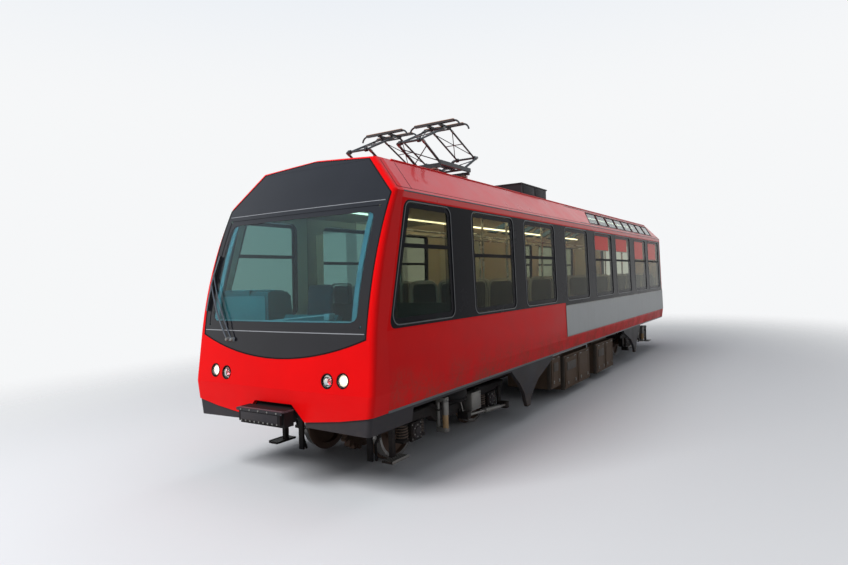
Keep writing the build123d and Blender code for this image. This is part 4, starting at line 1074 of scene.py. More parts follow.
def wiper():
    """Two bowed arms from their pivots to the blade's carrier, and a blade of rubber and spine."""
    bow = np.sin(np.pi * np.linspace(0, 1, 14))
    cap = [(-0.046, 0), (-0.046, 0.014), (-0.036, 0.020), (-0.002, 0.024), (-0.002, 0)]
    rubber = [(-0.007, 0.014), (-0.002, -0.006), (0.002, -0.006), (0.007, 0.014)]
    metal, caps = [], []
    for pivot, tip, radius in zip(WIPER_PIVOTS, WIPER_TIPS, (0.009, 0.007)):
        arm = on_front(*np.linspace(pivot, tip, len(bow)).T, 0.030 + 0.016 * bow)
        metal.append(tube(arm, radius, 8))
        caps.append(turned(cap, (pivot[0], 0, pivot[1]), 1, 16))
    x, height = np.linspace(*WIPER_BLADE, len(bow)).T
    spine = on_front(x, height, 0.024 + 0.006 * bow)
    metal.append(strip(0.010, -0.004, 0.004, spine, (0, -1, 0)))
    metal.append(tube(on_front([-1.150, -1.146, -1.140], [1.26, 1.32, 1.44], 0.034), 0.010, 8))
    metal.append(laid_on_front(block((-0.785, -0.022, 0.668), (-0.625, 0, 0.712), 0.008)))
    piece("wiper_arms", "wiper_paint", "chassis_black", *metal, replaces=["wiper"])
    piece("wiper_caps", "case_bright", "frame_grey", laid_on_front(*caps))
    blade = carried(rubber, on_front(x, height, 0.009), (0, -1, 0))
    piece("wiper_rubber", "bellows_rubber", "bellows_rubber", blade)


def coupler_detail():
    """Cover plate, bolt rows and lip of the coupler box, and the plate behind its notch."""
    cover = block((-0.33, -0.842, 0.002), (0.33, -0.672, 0.018))
    lip = block((-0.335, -0.846, -0.014), (0.335, -0.836, 0.018), 0.003)
    face = block((-0.27, -0.844, -0.105), (0.27, -0.838, -0.022), 0.003)
    recess = block((-0.40, -0.577, -0.10), (0.40, -0.567, 0.13), 0.003)
    low = np.linspace(-0.26, 0.26, 9)
    heads = np.concatenate([xyz(low, -0.840, -0.112), xyz(low[::2], -0.846, 0.002)])
    piece("coupler_cover", "cover_grey", "chassis_black", cover)
    piece("coupler_plates", "grey_paint", "chassis_black", lip, face)
    piece("coupler_recess", "chassis_black", "chassis_black", recess)
    piece("coupler_bolts", "case_bright", "chassis_black", bolts(heads, 1, 0.010, -0.008))


# Roof


def glazing_seals():
    """A black frame round each pane of the sloping roof edge, laid on its plane, and a strip
    above and below them."""
    low, high = SHOULDER_HALF + 0.07, CANTRAIL_HALF - 0.07
    pitch = (PANES_REAR - PANES_FRONT - PANE_RAKE) / PANES
    frames = []
    for front in PANES_FRONT + 0.03 + pitch * np.arange(PANES):
        rear = front + pitch - 0.06
        x, y = np.array([high, high, low, low]), [front, rear, rear + PANE_RAKE, front + PANE_RAKE]
        frames.append(strip(0.012, -0.012, 0.003, xyz(x, y, bevel_height(x)), BEVEL_OUT, True))
    lines = [
        strip(0.006, -0.004, 0.005, xyz(x, [6.0, 12.86], bevel_height(x)), BEVEL_OUT)
        for x in (1.205, 0.885)
    ]
    piece("roof_glass_seals", "trim_black", "black_band", mirrored(*frames))
    piece("roof_glass_strips", "case_bright", "frame_grey", mirrored(*lines))


def roof_trim():
    """Raised seams across the roof, seam lines on the front bevel and rails along the shoulders."""
    x = np.array([-0.84, 0.0, 0.84])
    seams = [
        strip(0.015, -0.004, 0.005, xyz(x, station, roof_height(x)), (0, 0, 1))
        for station in np.arange(1.0, 12.9, 1.19)
    ]
    rail = tube(xyz(0.853, [0.42, 12.9], SHOULDER + 0.002), 0.010, 8)
    piece("roof_seams", "red_plain", "red_paint", *seams, mirrored(rail))
    share = np.concatenate([[0.10], np.linspace(0.10, 0.92, 24)])
    x = CANTRAIL_HALF - share * (CANTRAIL_HALF - SHOULDER_HALF)
    height = bevel_height(x)
    edge = xyz(x, front_y(height, x) + 0.075, height)
    edge[0, 1] = 6.3
    lip = xyz(x, front_y(height, x) + 0.34, height)[1:]
    lines = [strip(0.0030, -0.004, 0.0012, path, BEVEL_OUT) for path in (edge, lip)]
    piece("bevel_seams", "trim_black", "red_paint", mirrored(*lines))


def shed_profile(low, high, levels, core=0.0385, skirt=0.0615):
    """Profile of a ribbed insulator: at each level a skirt with a flat underside and a top that
    slopes back to the core."""
    rows = [(low, core - 0.01), (low, core)]
    for level in levels:
        rows += [(level - 0.0060, core), (level - 0.0060, skirt), (level + 0.0056, skirt),
                 (level + 0.0125, core + 0.002)]
    return rows + [(high, core), (high, core - 0.01), (low, core - 0.01)]


def roof_gear():
    """Insulators, leads and springs of the collectors, ribs and louvres of the roof box, and the
    dome."""
    sheds = []
    for x in (PANTO_HALF_GAP - FOOT_X, PANTO_HALF_GAP + FOOT_X):
        profile = shed_profile(roof_height(x) - 0.012, PANTO_BASE - 0.071, SHEDS)
        sheds += [turned(profile, (x, PANTO_BACK + y, 0), 2, 24) for y in (-FOOT_Y, FOOT_Y)]
    low = roof_height(POST_X) - 0.004
    post = shed_profile(low, low + 0.13, low + np.array([0.030, 0.058, 0.086, 0.112]), 0.030, 0.050)
    sheds.append(turned(post, (POST_X, POST_Y, 0), 2, 24))
    piece("collector_insulators", "insulator", "panto_metal", mirrored(*sheds))
    top, start = roof_height(POST_X) + 0.145, PANTO_HALF_GAP - 0.243
    level = PANTO_BASE - 0.002
    lead = [(start, PANTO_BACK + 0.40, level), (start, PANTO_BACK + 0.62, level),
            (POST_X, 3.30, top), (POST_X, POST_Y, top)]
    drop = xyz(POST_X, [3.60, 3.95, 4.05, 4.19], [top, top, 2.76, 2.76])
    cables = [tube(bent(lead, 0.08), LEAD_RADIUS), tube(bent(drop, 0.07), LEAD_RADIUS)]
    piece("roof_cables", "bellows_rubber", "panto_metal", mirrored(*cables))
    springs = []
    for x in [sign * PANTO_HALF_GAP + across for sign in (1, -1) for across in (-0.10, 0.10)]:
        about = (x, PANTO_BACK, PANTO_BASE)
        springs.append(leaned(coil(about, 0.020, 0.0035, 0.44, 26, 5, 10), 90, about))
        rod = xyz(x, [PANTO_BACK - 0.282, PANTO_BACK + 0.282], PANTO_BASE)
        springs.append(tube(rod, 0.007, 8))
    piece("collector_springs", "panto_metal", "panto_metal", *springs)
    x = ROOF_BOX_HALF
    ribs = [block((-x, y, 2.838), (x, y + 0.03, 2.850)) for y in (4.45, 4.73, 5.01)]
    piece("roof_box_ribs", "grey_paint", "grey_paint", *ribs)
    slats = [louvres(x, span, LOUVRE_LEVELS, 5) for span in ROOF_LOUVRES]
    piece("roof_box_louvres", "grey_paint", "grey_paint", mirrored(*slats))
    turn = np.linspace(0, np.pi / 2, 9)
    dome = zip(2.7245 + 0.052 * np.sin(turn), 0.1205 * np.cos(turn))
    profile = [(2.66, 0.0), (2.66, 0.13), (2.70, 0.13), (2.706, 0.121), *dome]
    piece("roof_dome", "grey_paint", "grey_paint", turned(profile, (0.42, 3.30, 0), 2, 40))


def collar(place, along, half, radius):
    """A short round sleeve about a place, along a direction."""
    reach = half * unit(along)
    return tube([place - reach, place + reach], radius, 12)


def collectors():
    """Collars, cross bars, contact strips and horns of the collectors, each on its own arm."""
    bend = arc_through((0.300, 0.057), (0.372, 0.036), (0.404, -0.022))
    for side, x in (("right", PANTO_HALF_GAP), ("left", -PANTO_HALF_GAP)):
        for end, step in (("front", -1), ("rear", 1)):
            foot, knee, top = (
                np.array([x, PANTO_BACK + step * out, PANTO_BASE + rise])
                for out, rise in ((PANTO_FOOT, 0), (KNEE_OUT, KNEE_RISE), (HEAD_PIVOT, HEAD_RISE))
            )
            lower, upper = [], []
            for sign in (-1, 1):
                for share in (0.06, 0.94):
                    place = foot + (sign * ARM_WIDE, 0, 0) + share * (knee - foot)
                    lower.append(collar(place, knee - foot, 0.03, 0.0215))
                place = top + (sign * ARM_MID, 0, 0) + 0.08 * (knee - top)
                upper.append(collar(place, knee - top, 0.022, 0.0165))
            upper.append(tube(0.5 * (knee + top) + xyz([-ARM_MID, ARM_MID], 0, 0), 0.007, 8))
            for level, collars in (("lower", lower), ("upper", upper)):
                arm = f"pantograph_{side}_{end}_{level}"
                piece(f"{arm}_collars", "case_bright", "panto_metal", *collars, body=arm)
        strips, horns = [], []
        z = PANTO_BASE + HEAD_RISE
        for y in (PANTO_BACK - 0.13, PANTO_BACK + 0.13):
            low, high = (x - 0.318, y - 0.021, z + 0.068), (x + 0.318, y + 0.021, z + 0.080)
            strips.append(block(low, high, 0.003))
            horns += [tube(xyz(x + tip * bend[:, 0], y, z + bend[:, 1]), 0.0127) for tip in (-1, 1)]
        head = f"pantograph_{side}"
        piece(f"{head}_strips", "copper", "contact_strip", *strips, body=f"{head}_head")
        piece(f"{head}_horns", "panto_metal", "contact_strip", *horns, body=f"{head}_head")


# Underfloor and bogies


def case_doors():
    """Pressed ribs, hinges, latches, louvres and corner straps of the cases."""
    doors, bright, dark = [], [], []
    for front, rear, low, high, outer in CASES:
        count = 2 if rear - front > 1 else 1
        width = (rear - front) / count
        z0, z1 = low + 0.03, high - 0.035
        for index in range(count):
            y0 = front + index * width + 0.025
            y1 = y0 + width - 0.05
            for inset, raised in ((0.012, 0.0035), (0.075, 0.0045)):
                line = rounded(rect((y0 + inset, z0 + inset), (y1 - inset, z1 - inset)), 0.02, 4)
                path = xyz(outer + 0.012, *line.T)
                doors.append(strip(0.007, -0.002, raised, path, (1, 0, 0), True))
            for y in (y0 + 0.2 * (y1 - y0), y0 + 0.8 * (y1 - y0)):
                latch = (outer + 0.010, y - 0.014, z0 + 0.045), (outer + 0.028, y + 0.014, z0 + 0.10)
                bright.append(block(*latch, 0.005))
                hinge = (outer + 0.012, y, z1 - 0.006)
                bright.append(turned(solid(-0.045, 0.045, 0.009), hinge, 1, 12))
            if index == 0:
                spans = (y0 + 0.11, y1 - 0.11), (z1 - 0.21, z1 - 0.10)
                dark.append(louvres(outer + 0.012, *spans, 6))
        for y in (front, rear):
            strap = (outer - 0.06, y - 0.008, low - 0.006), (outer + 0.006, y + 0.008, high + 0.004)
            dark.append(block(*strap, 0.003))
        sill = (0.35, front + 0.03, low - 0.010), (outer - 0.02, rear - 0.03, low + 0.002)
        dark.append(block(*sill, 0.003))
    piece("case_door_ribs", "case_paint", "case_paint", mirrored(*doors))
    piece("case_latches", "case_bright", "case_paint", mirrored(*bright))
    piece("case_straps", "case_dark", "case_paint", mirrored(*dark))


def solebar_pipes():
    """Pipes along the solebars with their clips, and the light pipe above the cases."""
    pipes, clips = [], []
    for height, radius, x in SOLEBAR_PIPES:
        pipes.append(tube(xyz(x, [3.32, 9.78], height), radius))
        low, high = height - radius - 0.004, height + radius + 0.004
        clip = block((1.086, -0.012, low), (x + radius + 0.003, 0.012, high), 0.003)
        clips.append(scattered(clip, xyz(0, np.arange(3.5, 9.8, 0.62), 0)))
    piece("solebar_pipes", "chassis_black", "chassis_black", mirrored(*pipes))
    piece("solebar_clips", "case_bright", "chassis_black", mirrored(*clips))
    route = xyz(1.160, [4.36, 4.36, 6.26, 6.26], [-0.004, -0.050, -0.050, -0.13])
    piece("case_pipes", "pale_line", "case_paint", mirrored(tube(bent(route, 0.035), 0.012)))


def on_bogies(name, finish, *shapes):
    """Shapes drawn about the front bogie's middle, on both sides, put on both bogies; the rear
    bogie's faces the other way."""
    points, groups = mirrored(*shapes)
    for bogie, centre, facing in BOGIES:
        piece(f"{name}_{bogie}", finish, "chassis_black", (points * (1, facing, 1), groups),
              body=f"bogie_{bogie}", origin=(0, CORNER + centre, 0))


def axle_ends():
    """Springs with their seats, and covers with their bolts, at both axles of a bogie."""
    cover = [(0.878, 0.0), (0.878, 0.0885), (0.890, 0.0885), (0.8935, 0.084), (0.8935, 0.050),
             (0.906, 0.044), (0.906, 0.0)]
    seat = [(-0.006, 0.0), (-0.006, 0.075), (0.004, 0.075), (0.008, 0.062), (0.008, 0)]
    turn = np.linspace(0, 2 * np.pi, 6, endpoint=False) + 0.5
    coils, seats, covers, heads = [], [], [], []
    for axle in (-WHEELBASE_HALF, WHEELBASE_HALF):
        for y in (axle - 0.165, axle + 0.165):
            coils.append(coil((BEAM_X, y, 0.388), 0.0635, 0.0088, 0.160, 5, 7, 18))
            seats += [turned(seat, (BEAM_X, y, z), 2, 24) for z in (0.306, 0.476)]
        covers.append(turned(cover, (0, axle, AXLE_Z), 0, 36))
        heads += [(0.893, axle + 0.068 * np.cos(t), AXLE_Z + 0.068 * np.sin(t)) for t in turn]
        heads += [(0.880, axle + y, AXLE_Z + z) for y in (-0.088, 0.088) for z in (-0.085, 0.080)]
    on_bogies("axle_springs", "spring_paint", *coils)
    on_bogies("spring_seats", "chassis_black", *seats)
    on_bogies("axle_covers", "grey_paint", *covers)
    on_bogies("axle_cover_bolts", "case_bright", bolts(heads, 0, 0.010))


def bogies():
    """Springs, covers, dampers, pipes and boxes of the two bogies."""
    axle_ends()
    share = np.linspace(0, 1, 49)
    folds = zip(0.579 + 0.207 * share, 0.1930 + 0.0155 * np.abs(np.sin(2 * np.pi * share)))
    rubber = [(0.579, 0.172), *folds, (0.786, 0.172), (0.579, 0.172)]
    on_bogies("air_springs", "bellows_rubber", turned(rubber, (BEAM_X, 0, 0), 2, 40))
    plates = [turned(ring(*sizes), (BEAM_X, 0, 0), 2, 40) for sizes in AIR_SPRING_RINGS]
    on_bogies("air_spring_plates", "chassis_black", *plates)

    damper = [(0.288, 0.0), (0.288, 0.034), (0.294, 0.0368), (0.462, 0.0368), (0.466, 0.030),
              (0.466, 0.0)]
    sleeve = [(0.456, 0.0), (0.456, 0.0428), (0.618, 0.0428), (0.622, 0.036), (0.622, 0.0)]
    pin = [(0.982, 0.0), (0.982, 0.018), (0.994, 0.016), (0.994, 0.0)]
    brackets = [block((0.834, -0.466, 0.239), (0.863, -0.414, 0.661))]
    for z in DAMPER_PINS:
        brackets.append(block((0.844, -0.476, z - 0.031), (0.986, -0.404, z + 0.031)))
        brackets.append(turned(pin, (0, -0.44, z), 0, 12))
    on_bogies("damper_bodies", "tan_damper", turned(damper, DAMPER_PLACE, 2, 24))
    on_bogies("damper_covers", "case_bright", turned(sleeve, DAMPER_PLACE, 2, 24))
    on_bogies("damper_brackets", "case_bright", *brackets)

    strut = xyz(0.965, [0.10, 1.28], [0.335, 0.245])
    casing = xyz(0.965, [0.592, 1.048], [0.2975, 0.2627])
    on_bogies("long_dampers", "case_bright", tube(strut, 0.0178, 14), tube(casing, 0.0348, 20))
    lugs = [block((0.844, *(end - 0.046)), (0.996, *(end + 0.046))) for end in strut[:, 1:]]
    lugs.append(block((0.839, 1.234, 0.245), (0.869, 1.326, 0.511)))
    lugs.append(block((0.839, 0.054, 0.335), (0.869, 0.146, 0.421)))
    on_bogies("long_damper_lugs", "chassis_black", *lugs)

    valve = block((0.850, 0.214, 0.364), (0.9748, 0.476, 0.601), 0.003)
    lid = block((0.973, 0.228, 0.378), (0.9775, 0.462, 0.587), 0.002)
    heads = bolts([(0.977, y, z) for y in (0.245, 0.445) for z in (0.395, 0.57)], 0, 0.009, 0.007)
    route = [(0.915, 0.30, 0.366), (0.915, 0.30, 0.33), (0.915, 0.10, 0.33), (0.872, 0.10, 0.50)]
    pipe = tube(bent(route, 0.02), 0.008, 8)
    on_bogies("valve_boxes", "case_bright", valve, lid, heads, pipe)

    edge = block((0.9455, -1.558, 0.148), (0.9500, -1.242, 0.184), 0.002)
    grip = block((0.812, -1.55, 0.171), (0.822, -1.25, 0.1755), 0.001)
    on_bogies("guard_edges", "case_bright", edge, scattered(grip, xyz(0.03 * np.arange(4), 0, 0)))

    route = xyz(
        0.862, [-1.38, -0.62, -0.45, 0.45, 0.62, 1.38], [0.575, 0.595, 0.50, 0.50, 0.595, 0.575]
    )
    pipes = [tube(bent(route, 0.07), 0.011, 8)]
    for step in (-1, 1):
        y = step * (WHEELBASE_HALF + 0.39)
        route = xyz([0.77, 0.66, 0.575, 0.545], [y, y, y, y - step * 0.05], [0.53, 0.42, 0.28, 0.075])
        pipes.append(tube(bent(route, 0.08), 0.016))
    on_bogies("bogie_pipes", "chassis_black", *pipes)


def treads():
    """Bright running surfaces of the wheels: a ring on each tread and one on the rim's face."""
    run = [(0.504, 0.3500), (0.504, 0.3524), (0.592, 0.3477), (0.592, 0.3450), (0.504, 0.3500)]
    rim = [(0.5955, 0.305), (0.5955, 0.342), (0.5935, 0.344), (0.5935, 0.303), (0.5955, 0.305)]
    axles = [centre + step * WHEELBASE_HALF for _, centre, _ in BOGIES for step in (-1, 1)]
    for number, y in enumerate(axles, 1):
        rings = [turned(profile, (0, y, AXLE_Z), 0, 64) for profile in (run, rim)]
        piece(f"treads_{number}", "tread_steel", "wheel_steel", mirrored(*rings),
              body=f"wheelset_{number}", origin=(0, CORNER, 0))


# Interior


def power(value, exponent):
    """A value raised to a power with its sign kept."""
    return np.sign(value) * np.abs(value) ** exponent


def plan(turn, girth=1.0):
    """A pillow's plan: a superellipse drawn in by waist·(1 - t²) between its corners."""
    x, y = girth * power(np.cos(turn), PLAN_POWER), girth * power(np.sin(turn), PLAN_POWER)
    return x * (1 - WAIST * (1 - y**2)), y * (1 - WAIST * (1 - x**2))


def pillow(half, rows=14, columns=44):
    """A stuffed form: a superellipsoid with its own powers for plan and profile."""
    tall = np.linspace(-np.pi / 2, np.pi / 2, rows)[:, None]
    turn = np.linspace(0, 2 * np.pi, columns, endpoint=False)
    x, y = plan(turn, power(np.cos(tall), PROFILE_POWER))
    return grid(xyz(x, y, power(np.sin(tall), PROFILE_POWER)) * half, wrap_columns=True)


def piping(half, columns=60, radius=0.004):
    """The cord sewn round a pillow's widest line."""
    x, y = plan(np.linspace(0, 2 * np.pi, columns, endpoint=False))
    return carried(round_section(radius, 6), xyz(half[0] * x, half[1] * y, 0), closed=True)


def stitched(shape, half, rows, depth=0.006):
    """Draws a pillow in along cross seams and puckers it: at each seam row v the surface sinks
    by depth·exp(-((y - v)/0.012)²), with ripples of a quarter of that across it."""
    points = shape[0].copy()
    for row in rows:
        near = np.exp(-(((points[:, 1] - row) / 0.012) ** 2))
        ripple = 1 + 0.25 * np.sin(points[:, 0] * 140)
        flat = np.abs(points[:, 2]) > 0.3 * half[2]
        points[:, 2] -= np.sign(points[:, 2]) * depth * near * ripple * flat
    return points, shape[1]


def seat_parts():
    """Cushion, cord, back, hoop and pan of one place, as (across, ahead of the hip, height)."""
    cushion_half, back_half = (SEAT_HALF, 0.222, 0.045), (SEAT_HALF, 0.364, 0.034)
    cushion = stitched(pillow(cushion_half, 18, 56), cushion_half, (-0.11, 0.05))
    rest = stitched(pillow(back_half, 18, 72), back_half, (-0.21, 0.13))
    hoop = piping((back_half[0] - 0.002, back_half[1] - 0.002), 72, 0.0115)
    on_pan, on_frame, lean = (0, 0.230, 0.408), (0, -0.059, 0.736), 90 + 4.9
    return {
        "cushions": moved(cushion, on_pan),
        "backs": moved(leaned(rest, lean), on_frame),
        "cords": moved(piping(cushion_half), on_pan),
        "hoops": moved(leaned(hoop, lean), on_frame),
        "pans": block((-0.18, 0.02, 0.3555), (0.18, 0.43, 0.366)),
    }


def seats():
    """Passenger seats: cushions, backs, cords, hoops and pans on both sides of the aisle."""
    places = {1: [], -1: []}
    for hip, facing in SEAT_ROWS:
        places[facing] += [(sign * x, hip, FLOOR) for x in SEAT_PLACES for sign in (1, -1)]
    rows = {}
    for key, (points, groups) in seat_parts().items():
        rows[key] = [
            scattered((points * (1, facing, 1), groups), places[facing]) for facing in (1, -1)
        ]
    cushions = piece("seat_cushions", "seat_fabric", "seat_fabric", *rows["cushions"],
                     replaces=["passenger_seats"])
    rests = piece("seat_backs", "seat_fabric", "seat_fabric", *rows["backs"])
    piece("seat_cords", "seat_cord", "seat_fabric", *rows["cords"])
    piece("seat_hoops", "frame_grey", "frame_grey", *rows["hoops"])
    piece("seat_pans", "case_bright", "frame_grey", *rows["pans"])


def desk_detail():
    """Hood, pads, screens, levers and tray edge of the driver's desk, and the pillar and sill
    linings behind the windscreen."""
    profile = np.array([
        (-0.414, 0.852), (-0.414, 1.165), (-0.395, 1.205), (-0.355, 1.222), (-0.112, 1.199),
        (-0.052, 1.149), (-0.022, 0.802),
    ])
    middle = profile.mean(0)
    rings = [
        xyz(x, *(middle + share * (profile - middle)).T)
        for x, share in ((-0.57, 1.0), (-0.296, 1.0), (-0.283, 0.985), (-0.278, 0.95))
    ]
    # The hood keeps the darker desk teal: painted shade on the console's side
    piece("console_hood", "desk_plastic", "desk_plastic", capped(np.stack(rings)))
    rim = rounded(rect((-1.13, -0.345), (-0.30, -0.125)), 0.04)
    pad = plate(rim, lambda u, v, d: xyz(u, v, 1.2255 - (v + 0.42) * 0.025 / 0.31 + d), 0.010)
    face = rounded(rect((-1.10, 0.88), (-0.305, 1.160)), 0.03)
    front = plate(face, lambda u, h, d: xyz(u, -0.4195 - d, h), 0.008)
    # The pads' lighter teal is painted light on the console's top and front
    piece("console_pads", "desk_top", "desk_plastic", pad, front)

    def rear_face(u, h, d):
        """Points on the desk's sloping rear, moved out from it."""
        return xyz(u, -0.0195 - (h - 0.80) * 0.03 / 0.35 + d, h)

    dark, screens = [], []
    for low, high in ((-1.10, -0.85), (-0.83, -0.61)):
        dark.append(plate(rounded(rect((low, 0.89), (high, 1.11)), 0.015), rear_face, 0.010))
        inner = rounded(rect((low + 0.02, 0.91), (high - 0.02, 1.09)), 0.008)
        screens.append(plate(inner, lambda u, h, d: rear_face(u, h, d + 0.0095), 0.002))
    for x, y, tall in ((-1.02, -0.10, 0.10), (-0.46, -0.12, 0.13), (-0.36, -0.12, 0.07)):
        knob = [(tall + rise, radius) for rise, radius in (
            (0.0, 0.007), (0.004, 0.017), (0.030, 0.020), (0.042, 0.012), (0.045, 0.0)
        )]
        lever = [(0.0, 0.0), (0.0, 0.030), (0.006, 0.028), (0.010, 0.009), *knob]
        dark.append(turned(lever, (x, y, 0.845), 2, 20))
    piece("desk_bezels", "desk_dark", "desk_plastic", *dark)
    piece("desk_screens", "mask_black", "black_band", *screens)
    sill = on_front(np.linspace(-1.06, 1.06, 40), 0.893, -0.020)
    edge = [
        tube([(-0.26, -0.385, 0.886), (0.53, -0.375, 0.952)], 0.007),
        block((0.525, -0.400, 0.900), (0.600, -0.300, 0.965), 0.006),
        tube([(-0.262, -0.388, 0.850), (-0.262, -0.388, 0.892)], 0.012),
        strip(0.010, -0.012, 0.0, sill, (0, -1, 0)),
    ]
    piece("tray_edges", "frame_grey", "frame_grey", *edge)
    pillar = on_front(1.022, np.linspace(0.90, 2.02, 24), -0.024)
    lining = strip(0.030, -0.016, 0.0, pillar, (0, -1, 0))
    piece("pillar_linings", "pale_panel", "cream_lining", mirrored(lining))


def screen_frames():
    """Steel edge tubes of the two draught screens beside the doorway."""
    half = side_half(2.08) - 0.13
    routes = [xyz([-0.285, -0.285, -half], y, [FLOOR, 2.085, 2.085]) for y in SCREENS]
    tubes = [tube(bent(route, 0.05), 0.019, 12) for route in routes]
    piece("screen_frames", "rail_steel", "rail_steel", *tubes)


def driver_place():
    """The driver's seat: pads, pedestal and pan."""
    cushion = moved(pillow((0.23, 0.23, 0.055)), (DRIVER_X, 0.62, FLOOR + 0.45))
    rest = moved(leaned(pillow((0.22, 0.33, 0.045)), 84), (DRIVER_X, 0.88, FLOOR + 0.80))
    pads = piece("driver_seat_pads", "seat_fabric", "seat_fabric", cushion, rest,
                 replaces=["driver_seat"])
    profile = [(0.0, 0.0), (0.0, 0.17), (0.03, 0.165), (0.045, 0.06), (0.34, 0.045), (0.36, 0.10),
               (0.395, 0.10), (0.395, 0.0)]
    pedestal = turned(profile, (DRIVER_X, 0.62, FLOOR), 2, 36)
    pan = block((-0.90, 0.42, FLOOR + 0.385), (-0.50, 0.83, FLOOR + 0.41), 0.01)
    stay = block((-0.76, 0.80, FLOOR + 0.385), (-0.64, 0.87, FLOOR + 0.60), 0.01)
    piece("driver_seat_stand", "frame_grey", "frame_grey", pedestal, pan, stay)


def blinds():
    """Roller blinds: one sheet of cloth each, with its tube and hem bar."""
    across, down = np.linspace(0, 1, 60), np.linspace(0, 1, 24)[:, None]
    ripple = 0.0016 * np.sin(across * 40 + 3 * np.sin(down * 3)) * down
    edges = {row[0]: (row[1] + BLIND_GAP, row[3] - BLIND_GAP) for row in WINDOWS}
    high = WINDOW_HIGH + 0.018
    tubes, hems = [], []
    for name, drop in BLIND_DROPS.items():
        front, rear = edges[name]
        low = WINDOW_HIGH - drop
        y, height = front + (rear - front) * across, high + (low - high) * down
        cloth = piece(
            f"blind_cloth_{name}", "blind_red", "blind_red",
            grid(on_side(y, height, ripple - BLIND_BACK)),
            replaces=["roller_blinds"] if name == "w5" else (),
        )
        skin = cloth.modifiers.new("cloth", "SOLIDIFY")
        skin.thickness = CLOTH_THICK
        skin.offset = 0.0
        tubes.append(tube(on_side([front - 0.012, rear + 0.012], high + 0.012, -0.096), 0.022, 16))
        hems.append(tube(on_side([front, rear], low, -BLIND_BACK), 0.006))
    piece("blind_rollers", "frame_grey", "frame_grey", *tubes)
    piece("blind_hems", "frame_grey", "frame_grey", *hems)


def ceiling():
    """Housings of the ceiling lights, collars of the handrails, and the lights in the coves."""
    housing = [block((x, 1.28, 2.545), (x + 0.008, 12.72, 2.60), 0.002) for x in (0.548, 0.664)]
    housing.append(block((0.55, 1.27, 2.585), (0.67, 12.73, 2.60), 0.003))
    piece("light_housings", "frame_grey", "frame_grey", mirrored(*housing))
    flange = [(-0.006, 0.02), (-0.006, 0.045), (0.006, 0.045), (0.012, 0.023), (-0.006, 0.02)]
    collars = []
    for y in POSTS:
        collars += [turned(flange, (HANDRAIL_X, y, z), 2, 20) for z in (FLOOR + 0.006, 2.55)]
        collars.append(turned(solid(-0.03, 0.03, 0.026), (HANDRAIL_X, y, 1.96), 1, 16))
    piece("rail_collars", "rail_steel", "rail_steel", mirrored(*collars))
    for name, finish, grow in (
        ("cove_lights", "light_diffuser", 0.0), ("cove_housings", "frame_grey", 0.012)
    ):
        lights = []
        for run in COVE_RUNS:
            path = xyz(1.046 + 0.6 * grow, run, 2.336 + 0.8 * grow)
            lights.append(strip(0.014 + grow, -0.010, 0.006, path, (-0.70, 0, -0.71)))
        piece(name, finish, finish, mirrored(*lights))


# Ends


def gangway_outline(out):
    """The outline of the gangway, let out on all sides, its corners with it."""
    low = (-GANGWAY_HALF - out, FLOOR - 0.02 - out)
    high = (GANGWAY_HALF + out, GANGWAY_TOP + out)
    return rounded(rect(low, high), 0.05 + out * 0.6, 12)


def gangway():
    """Pleated bellows round the gangway, its end frames and its tread plate."""
    share = np.linspace(0, 1, PLEATS * 4 + 1)
    swing = 0.5 - 0.5 * np.cos(2 * np.pi * PLEATS * share)
    y = BODY_LENGTH + 0.002 + (BELLOWS_REAR - BODY_LENGTH - 0.004) * share
    outs = np.concatenate([0.085 + 0.062 * swing, (0.012 + 0.045 * swing)[::-1]])
    loops = [
        xyz(outline[:, 0], level, outline[:, 1])
        for outline, level in zip(map(gangway_outline, outs), np.concatenate([y, y[::-1]]))
    ]
    piece("bellows_folds", "bellows_rubber", "bellows_rubber", grid(np.stack(loops), True, True),
          replaces=["gangway_bellows"], sharp=60)
    outer, inner = (resampled(gangway_outline(out), 120) for out in (0.150, 0.004))
    frames = [
        band(outer, inner, lambda x, h, d, s=level: xyz(x, s + d, h), 0.022)
        for level in (BODY_LENGTH + 0.004, 13.235)
    ]
    piece("gangway_frames", "grey_paint", "frame_grey", *frames)
    tread = block((-0.42, 12.90, FLOOR + 0.001), (0.42, 13.255, FLOOR + 0.008), 0.002)
    piece("gangway_tread", "rail_steel", "rail_steel", tread)


def doors():
    """Pane seals and handles of the sliding doors, and the step under them."""
    for name, front, rear, y in DOOR_LEAVES:
        line = rounded(rect((front, WINDOW_LOW), (rear, 1.90)), 0.09)
        seal = strip(0.010, -0.004, 0.004, on_side(*line.T, -0.074, -1), (-1, 0, 0), True)
        outline = rounded(rect((y - 0.018, 0.93), (y + 0.018, 1.27)), 0.016)
        pull = rounded(rect((y - 0.009, 0.96), (y + 0.009, 1.24)), 0.008)
        handle = plate(outline, lambda v, h, d: on_side(v, h, d - 0.0755, -1), 0.005)
        lip = band(resampled(outline, 60), resampled(pull, 60),
                   lambda v, h, d: on_side(v, h, d - 0.0710, -1), 0.002)
        piece(f"door_seal_{name}", "trim_black", "black_band", seal, body=f"door_{name}")
        piece(f"door_handle_{name}", "rail_steel", "rail_steel", handle, lip, body=f"door_{name}")
    step = block((-1.262, 4.92, -0.10), (-1.10, 6.18, -0.07), 0.006)
    hangers = [block((-1.165, y, -0.10), (-1.13, y + 0.04, 0.03)) for y in (5.0, 6.06)]
    piece("door_step", "rail_steel", "rail_steel", step, *hangers)


# Stage: the floor, and the lamps by name, place, aim, edge length and watts

FLOOR_REACH = 120.0
FLOOR_LEVEL = -0.001
STUDIO_LAMPS = [
    ("key", (-3.0, -16.0, 11.5), (0, -6, 2), 7.0, 2500.0),
    ("fill", (14.0, -6.0, 7.0), (1, 0, 2), 9.0, 130.0),
    ("top", (0.0, 2.0, 13.0), (0, 1, 2), 10.0, 640.0),
]


